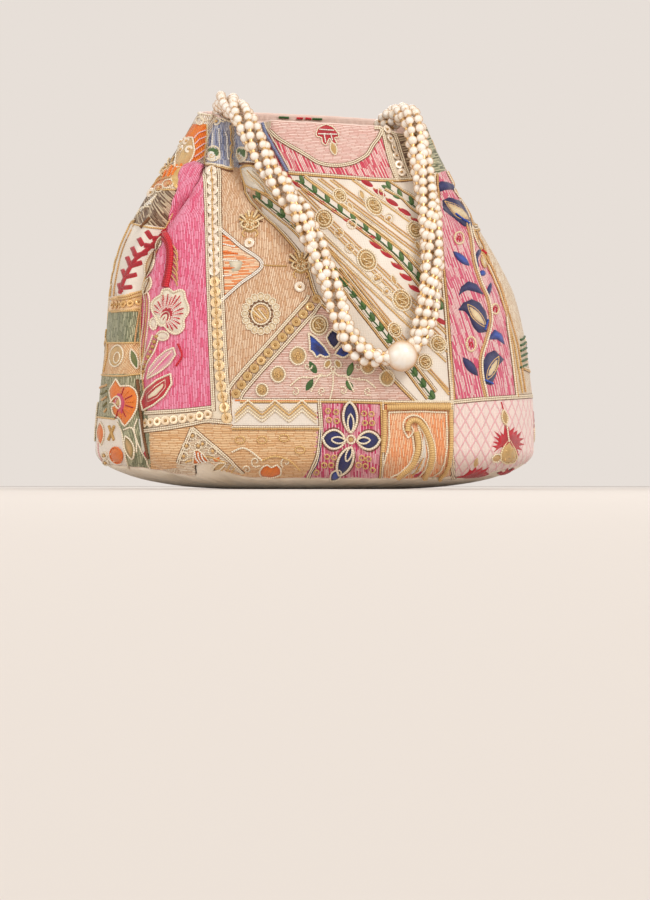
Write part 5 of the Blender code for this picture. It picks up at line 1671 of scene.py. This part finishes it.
bloom = trace("116.6,379.2 120.9,386.3 130,386 135.6,390.6 137.7,398.2 136.6,409 132.3,417.7 125.8,426.4 122.5,423 120.9,418.8 "
              "113.9,414.5 112.2,407 117,404.7 112,402 110,390.6")
pad(bloom, "flame", "orange", 0.8, 40, "cream", 0.5)
pad(trace("118,391 124,392 127.5,402 125,414 121,418 117,408 113,404"), "magenta", "rose", 1.0, 60)
for k in range(9):
    a = math.radians(-70 + 22 * k)
    line([(121 + 6 * math.cos(a), 403 + 8 * math.sin(a)), (121 + 13 * math.cos(a), 403 + 16 * math.sin(a))],
         "flame" if k % 2 else "crimson", 0.3, lift=1.0)
pad(oval(119.6, 402.5, 3.2, 6, 8), "tan", "gold", 1.3, 80, "cream", 0.45)
line(trace("112.2,403 115.5,398.2 119.3,396.5 122.5,401.5 121,409 117,405"), "cream", 0.45, lift=1.3)
for k in range(5):
    line([(100 + 1.2 * k, 388 + 6 * k), (107, 385 + 6 * k)], "olive" if k % 2 else "tan", 0.6, lift=0.3)
pad(lens(101.5, 445, 101, 422, 7), "orange", "flame", 0.6, 70, "cream", 0.45)
line(trace("98.5,440 99,452 103,462"), "palePink", 0.4)
for a, b in (((109.5, 426), (114.5, 440)), ((115, 426), (109, 440))):
    line([a, b], "oldGold", 0.8)
pad(oval(117, 455, 6, 8, -20), "flame", "orange", 0.8, 30, "orange", 0.4)
spiral(113.5, 456, 5, 60, "cream", girth=0.5)
ringRow([(105, 455), (106, 462)], 3.0, "cream")
for points in (trace("117,422 122,432 124.5,450 129,468"), trace("137,419 134,430 139,446 146,458 151,468"),
               trace("124,430 132,428 136,440 137,452")):
    line(points, "cream", 0.45)
pad(lens(126, 436, 133, 459, 9), "olive", "tan", 0.7, 60, "cream", 0.45)
pad(trace("138.5,419 142,419 146,450 142.5,455"), "white", "cream", 0.3, 80)
pad(trace("143.5,452 147,447 149,459 145.5,457"), "crimson", "red", 0.4, 80)
line(trace("137,380 139,400 141.5,418 145,440 149,458"), "brown", 0.8)
line(trace("104,330 108,350 104,372"), "gold", 0.5)

# the sides and the back, in the same manner
for degrees, v, kind, arg in (
    (131, 20, "carnation", 0.95), (166, 20, "sunburst", 20), (97, 74, "vine", 0), (125, 82, "paisleys", 0),
    (162, 80, "diagonals", 0), (98, 136, "leaves", 0),
    (134, 140, "spray", 0), (166, 142, "spray", 0), (92, 12, "spikes", 0), (-162, 18, "paisleys", 0),
    (-127, 14, "sunburst", 18), (-164, 80, "carnation", 1.0),
    (-125, 78, "sunburst", 22), (-88, 14, "flower", 0), (-92, 88, "leaves", 0), (-160, 140, "leaves", 0),
    (-120, 140, "diagonals2", 0), (-86, 140, "spray", 0),
    (-112, 112, "spray", 0),
):
    at = flatAt(degrees, v)
    if kind == "carnation":
        carnation(0, 0, arg * 1.25, at)
        line(trace("-6,18 -12,36 -4,52"), "red", 1.2, at)
        for x0, y0, x1, y1 in trace("-10,36,-26,28 -6,44,12,32 -8,50,-22,54"):
            pad(lens(x0, y0, x1, y1, 9), "tan", "cream", 0.7, 30, "cream", 0.5, at)
    elif kind == "sunburst":
        sunburst(0, 0, arg * 0.48, arg, 16, at)
        for x, y in trace("-34,-26 34,-26 -34,28 34,28"):
            goldOval(x, y, 6, 7, 30, at)
    elif kind == "vine":
        line(trace("6,62 -4,40 6,16 -2,-8 8,-34 0,-62"), "tan", 0.75, at)
        for x0, y0, x1, y1, w in trace("0,48,-18,40,9 2,28,18,18,9 0,4,-18,-6,9 4,-24,20,-34,9 2,-46,-14,-56,9"):
            vineLeaf(x0, y0, x1, y1, w, "navy", at)
        for k, y in enumerate((38, 10, -18, -46)):
            spiral(14 if k % 2 else -14, y, 6, 60 * k, "cream", at)
    elif kind == "paisleys":
        line(trace("0,66 -8,36 6,4 -6,-30 4,-62"), "tan", 0.75, at)
        for x, y, turn in trace("-14,40,-20 14,2,20 -14,-36,-20"):
            paisley(x, y, 0.95, turn, at)
        for k, (x, y) in enumerate(((14, 34), (-16, 4), (14, -34))):
            spiral(x, y, 6, 80 * k, "cream", at)
    elif kind == "diagonals":
        for k in range(-2, 3):
            for x, y in spaced(-40, -34 + 26 * k, 34, 14 + 26 * k, 6):
                (redDash if k % 2 else arrowLeaf)(x, y, at=at)
            line([(-44, -26 + 26 * k), (40, 28 + 26 * k)], "gold", 0.45, at)
            goldOval(0, 13 + 26 * k, 7, 8, 0, at) if k < 2 else None
    elif kind == "diagonals2":
        for k in range(-1, 2):
            leafLine(spaced(-26, -20 + 28 * k, 22, 12 + 28 * k, 4), at)
            line([(-30, -12 + 28 * k), (28, 26 + 28 * k)], "gold", 0.45, at)
    elif kind == "leaves":
        line(trace("0,50 6,20 -4,-12 4,-44"), "gold", 0.6, at)
        for x0, y0, x1, y1 in trace("3,34,18,24 2,18,-14,8 -2,-4,14,-16 0,-26,-14,-36"):
            pad(lens(x0, y0, x1, y1, 8), "green", "leaf", 0.7, 40, "cream", 0.42, at)
    elif kind == "spray":
        spray(0, 4, 15, at)
        sequin(0, 26, 5.4, "white", at)
        ringRow(trace("-16,-22 16,-22 -18,26 18,26"), 4.6, "cream", at)
    elif kind == "spikes":
        for k in range(9):
            a = math.radians(-90 + 22.5 * k)
            pad(lens(5 * math.sin(a), -5 * math.cos(a), 22 * math.sin(a), -22 * math.cos(a), 6), "red", "crimson", 0.7, 60,
                None, 0.4, at)
        pad(oval(0, 6, 8, 10), "gold", "oldGold", 0.8, 60, "cream", 0.5, at)
    elif kind == "flower":
        for k in range(6):
            a = tau * k / 6
            pad(oval(13 * math.cos(a), 13 * math.sin(a), 8, 6.5, math.degrees(a)), "orange", "orange", 0.8, 40, "cream", 0.5, at)
        pad(oval(0, 0, 7, 7), "magenta", "crimson", 1.0, 40, "cream", 0.42, at)
# a sequin strip covers the seam at the middle of the back
for side in (-1, 1):
    seamEdge = np.array([(side * (uEdge - 0.3), v) for v in np.linspace(float(seamV(uEdge)) + 2, 161, 60)])
    pairOn(beside(seamEdge, 3.4 * -1 if side > 0 else 3.4), ("cream", "gold"), 0.9, 0.42)
sequinsOn(np.array([(uEdge - 0.2, v) for v in np.linspace(float(seamV(uEdge)) + 3, 160, 40)]), 5.2, 5.0, ("cream",))
print("motifs drawn:", len(twines), "cords,", len(pads), "pads,", len(rounds["sequin"]), "sequins")


# make the meshes of cords and round things
def makeTwines(name, runs, material):
    points, edges, girths, tones = [], [], [], []
    for uv, colour, girth, lift in runs:
        places, _ = onCloth(uv, lift / 1000)
        first = len(points)
        points.extend(places)
        edges.extend((first + k, first + k + 1) for k in range(len(places) - 1))
        girths += [girth / 1000] * len(places)
        tones += [(*colour, 1.0)] * len(places)
    return runTree(name, twineTree, {"Sides": 5, "Material": material}, points, edges, {
        "girth": ("FLOAT", girths), "tone": ("FLOAT_COLOR", tones)})


def makeRounds(name, items, shape, material, wobble, seed):
    uv = np.array([item[0] for item in items])
    places, normals = onCloth(uv, np.array([item[3] for item in items]) / 1000)
    return runTree(name, placeTree, {"Shape": shape, "Material": material, "Wobble": wobble, "Seed": seed}, places, [], {
        "facing": ("FLOAT_VECTOR", normals), "size": ("FLOAT", [item[1] / 1000 for item in items]),
        "tone": ("FLOAT_COLOR", [(*item[2], 1.0) for item in items])})


cordMaterial, graph, shader = newMaterial("couched cord", Roughness=0.45, Sheen_Weight=0.2)
tone, length = graph.attribute("tone"), graph.attribute("along", "Fac")
where = graph.node("ShaderNodeTexCoord").out("Object")
ply = (length * (tau / 0.0011)).sine() * 0.5 + 0.5
fleck = graph.noise(where, 700.0)
# painted shade: dark brown stripes between the plies, as painted shade in the grooves of the twist
dark = graph.mix(0.55, tone, srgb(176, 124, 72), "MULTIPLY")
graph.plug(shader["Base Color"], graph.mix((ply * 0.7 + fleck * 0.5).ease(0.1, 0.6), dark, tone))
graph.plug(shader["Roughness"], 0.55 - ply * 0.2)
graph.plug(shader["Metallic"], ply * 0.15)
graph.plug(shader["Normal"], graph.bump(ply + fleck * 0.3, 0.00022, 0.9))

sequinMaterial, graph, shader = newMaterial("sequin", Roughness=0.25, Coat_Weight=0.6, Coat_Roughness=0.1)
tone = graph.attribute("tone")
where = graph.node("ShaderNodeTexCoord").out("Object")
fleck = graph.noise(where, 500.0)
graph.plug(shader["Base Color"], graph.mix(fleck * 0.6, tone, srgb(236, 190, 130), "MULTIPLY"))
graph.plug(shader["Metallic"], fleck * 0.3 + 0.15)
graph.plug(shader["Roughness"], fleck * 0.2 + 0.15)

beadMaterial, graph, shader = newMaterial("seed bead", Roughness=0.25, Coat_Weight=0.5)
tone = graph.attribute("tone")
where = graph.node("ShaderNodeTexCoord").out("Object")
graph.plug(shader["Base Color"], graph.mix(graph.noise(where, 900.0) * 0.5, tone, srgb(150, 96, 40), "MULTIPLY"))
graph.plug(shader["Metallic"], graph.noise(where, 300.0) * 0.4)

makeTwines("cords", twines[:seamCount], cordMaterial)
makeTwines("motif_threads", twines[seamCount:], cordMaterial)
makeRounds("sequins", rounds["sequin"], sequinShape, sequinMaterial, 0.14, 5)
makeRounds("seed_beads", rounds["bead"], bead, beadMaterial, 1.0, 6)
print("cords", len(twines), "sequins", len(rounds["sequin"]))
for thing in (ball, bead, sequinShape):
    bpy.data.objects.remove(thing, do_unlink=True)


def makePads(name, items, material):
    points, faces, colours, uvs = [], [], [], []
    for ring, outer, inner, high, lean in items:
        closed = np.concatenate((ring, ring[:1]))
        fine = resampled(closed, 1.1)[:-1]
        if len(fine) < 4:
            continue
        lowest, highest = fine.min(axis=0), fine.max(axis=0)
        step = 1.05
        xs, ys = np.arange(lowest[0], highest[0], step), np.arange(lowest[1], highest[1], step)
        grid = np.array([(x + (j % 2) * step / 2, y) for j, y in enumerate(ys) for x in xs]).reshape(-1, 2)
        if len(grid):
            away = np.min(np.linalg.norm(grid[:, None] - fine[None], axis=2), axis=1)
            grid = grid[inside(grid, fine) & (away > 0.45)]
        n = len(fine)
        every = np.concatenate((fine, grid))
        verts, _, tris, _, _, _ = delaunay_2d_cdt([Vector(p) for p in every], [(k, (k + 1) % n) for k in range(n)], [], 1, 1e-5)
        verts = np.array([tuple(v) for v in verts])
        tris = [t for t in tris if len(t) == 3]
        if not tris:
            continue
        away = np.min(np.linalg.norm(verts[:, None] - fine[None], axis=2), axis=1)
        if isinstance(high, tuple):
            high, middle, reach = high
            high = high * np.exp(-((np.linalg.norm(verts - middle, axis=1) / reach) ** 4))
        lift = (0.08 + high * (1 - np.exp(-away / 0.7))) / 1000
        places, _ = onCloth(verts, lift)
        share = eased(away / max(away.max(), 0.4))[:, None]
        first = len(points)
        points.extend(places)
        turn = math.radians(lean)
        alongIt = sample(alongGrid, verts)
        s = alongIt * math.cos(turn) + verts[:, 1] * math.sin(turn)
        t = -alongIt * math.sin(turn) + verts[:, 1] * math.cos(turn)
        colours.extend(np.array(outer) * (1 - share) + np.array(inner) * share)
        for tri in tris:
            a, b, c = (verts[k] for k in tri)
            if (b[0] - a[0]) * (c[1] - a[1]) - (b[1] - a[1]) * (c[0] - a[0]) < 0:
                tri = tri[::-1]
            faces.append(tuple(first + k for k in tri))
            uvs.extend((s[k], t[k]) for k in tri)
    made = newPiece(name, points, faces, material)
    paint(made.data, "tone", colours)
    paint(made.data, "threadA", [items[0][1]] * len(points))
    paint(made.data, "threadB", [items[0][2]] * len(points))
    lay(made.data, "stitch", uvs)
    print(name, len(faces))
    return made


# the pink cloth's edge lies over half the eyelet
lobe = fromPicture(straightLine(trace("194,161.5 186,164 180.5,169 178,175 177.5,183 175.5,191 172,201 169,212 167,224 180,232 "
                                      "204,226 204,168"),
                                True, 2.0))
makePads("pink_lobe", [(lobe, silk["hotPink"][0], silk["hotPink"][1], (2.9, pic(185, 178), 17.0), 88)], patchwork.data.materials[0])
padMaterial, graph, shader = newMaterial("satin stitch motif", Roughness=0.42, Sheen_Weight=0.3, Specular_IOR_Level=0.45)
s, t, _ = graph.split(graph.attribute("stitch", "Vector"))
row, cell, round_, endFade = stitchRows(graph, s, t, 9.0, 0.55, 0.8)
tone = graph.attribute("tone")
shade = graph.chance(row, cell)
# painted shade: each stitch darkens towards its sides by its round profile, mixed with a random darker tone for some
# stitches
graph.plug(shader["Base Color"], graph.mix(round_.ease(0.05, 0.6) * 0.75 + shade * 0.25,
                                           graph.mix(0.55, tone, (0.10, 0.06, 0.06)), tone))
graph.plug(shader["Roughness"], 0.55 - round_ * 0.2)
graph.plug(shader["Normal"], graph.bump(round_, 0.00022, 0.8))
makePads("embroidery", pads, padMaterial)


# lining, base and fittings
def liningPoints(angle, run, extra=0.0):
    normal, level, scale = skinFrame(angle, run)
    reach = 0.0016 + math.pi * skin["halfWidth"][0] / 48
    step, up = reach / scale, reach / (rimHeight - cornerHeight)
    near = [foldShift(angle + a * step, np.clip(run + b * up, 0, rimRun)) for a in (-1, -0.67, -0.33, 0, 0.33, 0.67,
            1) for b in (-1, 0, 1)]
    points = smoothSkin(angle, run) - normal * 0.0039 + level * np.minimum(np.min(near, axis=0), 0.0)[..., None]
    behind = 0.0016 + 0.0008 + 0.0009 + 0.0008
    for centre, axis in spotOf.values():
        inner = eyelets["flange"] + eyelets["margin"]
        proud = (points - centre) @ axis + behind
        besideIt = np.linalg.norm(points - centre - (proud - behind)[..., None] * axis, axis=-1)
        share = np.where((np.abs(proud) < 2 * inner) & (proud > 0), 1 - eased((besideIt - inner) / eyelets["fade"]), 0.0)
        points = points - (share * proud)[..., None] * axis
    return points - normal * extra


def ringMesh(rows, pole=None):
    points, faces = [tuple(p) for row in rows for p in row], []
    n = len(rows[0])
    for r in range(len(rows) - 1):
        for k in range(n):
            faces.append((r * n + k, r * n + (k + 1) % n, (r + 1) * n + (k + 1) % n, (r + 1) * n + k))
    if pole is not None:
        points.append(tuple(pole))
        faces += [(len(points) - 1, (k + 1) % n, k) for k in range(n)]
    return points, faces


def clothMaterial(name, light, dark, sheen, rough, weaveScale):
    material, graph, shader = newMaterial(name, Roughness=rough, Sheen_Weight=sheen, Specular_IOR_Level=0.4)
    where = graph.node("ShaderNodeTexCoord").out("Object")
    x, y, z = graph.split(where)
    weave = ((x + y * 0.7) * weaveScale).sine() * 0.5 + (z * weaveScale * 1.4).sine() * 0.5
    cloud = graph.noise(where, 60.0, 3.0)
    graph.plug(shader["Base Color"], graph.mix(cloud.ease(0.3, 0.75), light, dark))
    graph.plug(shader["Roughness"], cloud * 0.2 + (rough - 0.1))
    graph.plug(shader["Normal"], graph.bump(weave * 0.3 + cloud, 0.0002, 0.5))
    return material


satinMaterial = clothMaterial("cream satin", srgb(250, 238, 220), srgb(238, 222, 198), 0.3, 0.45, 6000.0)
liningMaterial = clothMaterial("lining satin", srgb(226, 208, 186), srgb(206, 184, 158), 0.3, 0.5, 5000.0)
angles = np.arange(240) * tau / 240 - math.pi
liningTop = rimRun - 0.0040 / (rimHeight - cornerHeight)
runs = [1.0, 1.2, 1.4, 1.55, 1.7, 1.85] + list(np.linspace(2.0, liningTop, 60))
outerRows = [liningPoints(angles, np.full(240, run)) for run in runs]
innerRows = [liningPoints(angles, np.full(240, run), 0.0009) for run in runs]
floorZ = float(outerRows[0][:, 2].mean())
outerRows[0][:, 2] = floorZ
innerRows[0][:, 2] = floorZ + 0.0009
rows = outerRows + innerRows[::-1]
points, faces = ringMesh(rows, (0, 0, floorZ))
n = 240
points.append((0.0, 0.0, floorZ + 0.0009))
last = (len(rows) - 1) * n
faces += [(len(points) - 1, last + k, last + (k + 1) % n) for k in range(n)]
newPiece("lining_cloth", points, faces, liningMaterial, ("lining",))

angles = np.arange(360) * tau / 360 - math.pi
end = seamRun(angles) - 0.0006 / (cornerHeight * math.pi / 2)
rows = []
for share in np.linspace(0, 1, 14):
    run = flatEdge + (end - flatEdge) * share
    normal, level, _ = skinFrame(angles, run)
    wrinkle = 0.00018 * (np.sin(angles * 90 + 5 * share) + np.sin(angles * 53 - 7 * share)) * share
    rows.append(smoothSkin(angles, run) + level * foldShift(angles, run)[:, None] + normal * (wrinkle - 0.0001)[:, None])
for row in rows:
    row[:, 2] = row[:, 2].clip(0.0, None)
inner = [row - skinFrame(angles, flatEdge + (end - flatEdge) * share)[0] * 0.0015 for row,
         share in zip(rows, np.linspace(0, 1, 14))]
inner[0][:, 2] = 0.0015
points, faces = ringMesh(rows + inner[::-1], (0, 0, 0))
points.append((0.0, 0.0, 0.0015))
n, last = 360, (2 * len(rows) - 1) * 360
faces += [(len(points) - 1, last + k, last + (k + 1) % n) for k in range(n)]
newPiece("satin_base", points, faces, satinMaterial, ("base_panel",))

boardMaterial, graph, shader = newMaterial("grey board", Roughness=0.9)
where = graph.node("ShaderNodeTexCoord").out("Object")
graph.plug(shader["Base Color"], graph.mix(graph.noise(where, 300.0, 5.0), srgb(190, 176, 156), srgb(160, 146, 126)))
brassMaterial, graph, shader = newMaterial("gold fitting", Metallic=1.0, Roughness=0.28)
where = graph.node("ShaderNodeTexCoord").out("Object")
scuff = graph.noise(where, 420.0, 4.0)
graph.plug(shader["Base Color"], graph.mix(scuff, srgb(226, 178, 100), srgb(250, 224, 168)))
graph.plug(shader["Roughness"], scuff * 0.25 + 0.16)
graph.plug(shader["Normal"], graph.bump(scuff, 0.00005, 0.4))
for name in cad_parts:
    thing = bpy.data.objects.get(name)
    if thing is None:
        continue
    if name.startswith("eyelet"):
        chosen = brassMaterial
    elif name.startswith("handle_tab"):
        chosen = satinMaterial
    elif name == "base_board":
        chosen = boardMaterial
    else:
        continue
    if not thing.material_slots:
        thing.data.materials.append(chosen)
    for slot in thing.material_slots:
        slot.material = chosen

# floor, backdrop and light
room = {"wall": srgb(231, 223, 216), "floor": srgb(222, 214, 208), "floorEdge": 3.0}


def stagePlane(name, corners, colour):
    mesh = bpy.data.meshes.new(name)
    mesh.from_pydata(corners, [], [(0, 1, 2, 3)])
    made = bpy.data.objects.new(name, mesh)
    scene.collection.objects.link(made)
    material, graph, shader = newMaterial(name, Roughness=0.9)
    shader["Base Color"].default_value = (*colour, 1.0)
    mesh.materials.append(material)
    return made


edge = room["floorEdge"]
stagePlane("floor", [(-edge, -edge, 0), (edge, -edge, 0), (edge, edge, 0), (-edge, edge, 0)], room["floor"])
world = bpy.data.worlds.new("studio")
scene.world = world
world.use_nodes = True
graph = Graph(world.node_tree)
nodes = world.node_tree.nodes
nodes.clear()
path = graph.node("ShaderNodeLightPath")
seenRay = path.out("Is Camera Ray").most(path.out("Is Glossy Ray")).most(path.out("Is Transmission Ray"))
lightSky = graph.node("ShaderNodeBackground", None, {"Color": (1.0, 0.97, 0.93, 1.0), "Strength": 0.66})
paleSky = graph.node("ShaderNodeBackground", None, {"Color": (*room["wall"], 1.0), "Strength": 1.0})
mixed = graph.node("ShaderNodeMixShader", None, {0: seenRay, 1: lightSky, 2: paleSky})
graph.node("ShaderNodeOutputWorld", None, {"Surface": mixed})


def softbox(name, place, aim, size, power, colour=(1.0, 1.0, 1.0)):
    data = bpy.data.lights.new(name, "AREA")
    data.shape, data.size, data.energy, data.color = "DISK", size, power, colour
    made = bpy.data.objects.new(name, data)
    made.location = place
    made.rotation_euler = (Vector(aim) - Vector(place)).to_track_quat("-Z", "Y").to_euler()
    scene.collection.objects.link(made)


softbox("key", (0.9, -1.3, 1.3), (0, 0, 0.09), 0.7, 17.0, (1.0, 0.965, 0.91))
softbox("fill", (-1.4, -1.2, 0.6), (0, 0, 0.09), 1.2, 6.5, (1.0, 0.98, 0.95))
softbox("back", (-0.2, 1.4, 1.1), (0, 0, 0.1), 1.0, 7.0)
scene.view_settings.view_transform = "Standard"
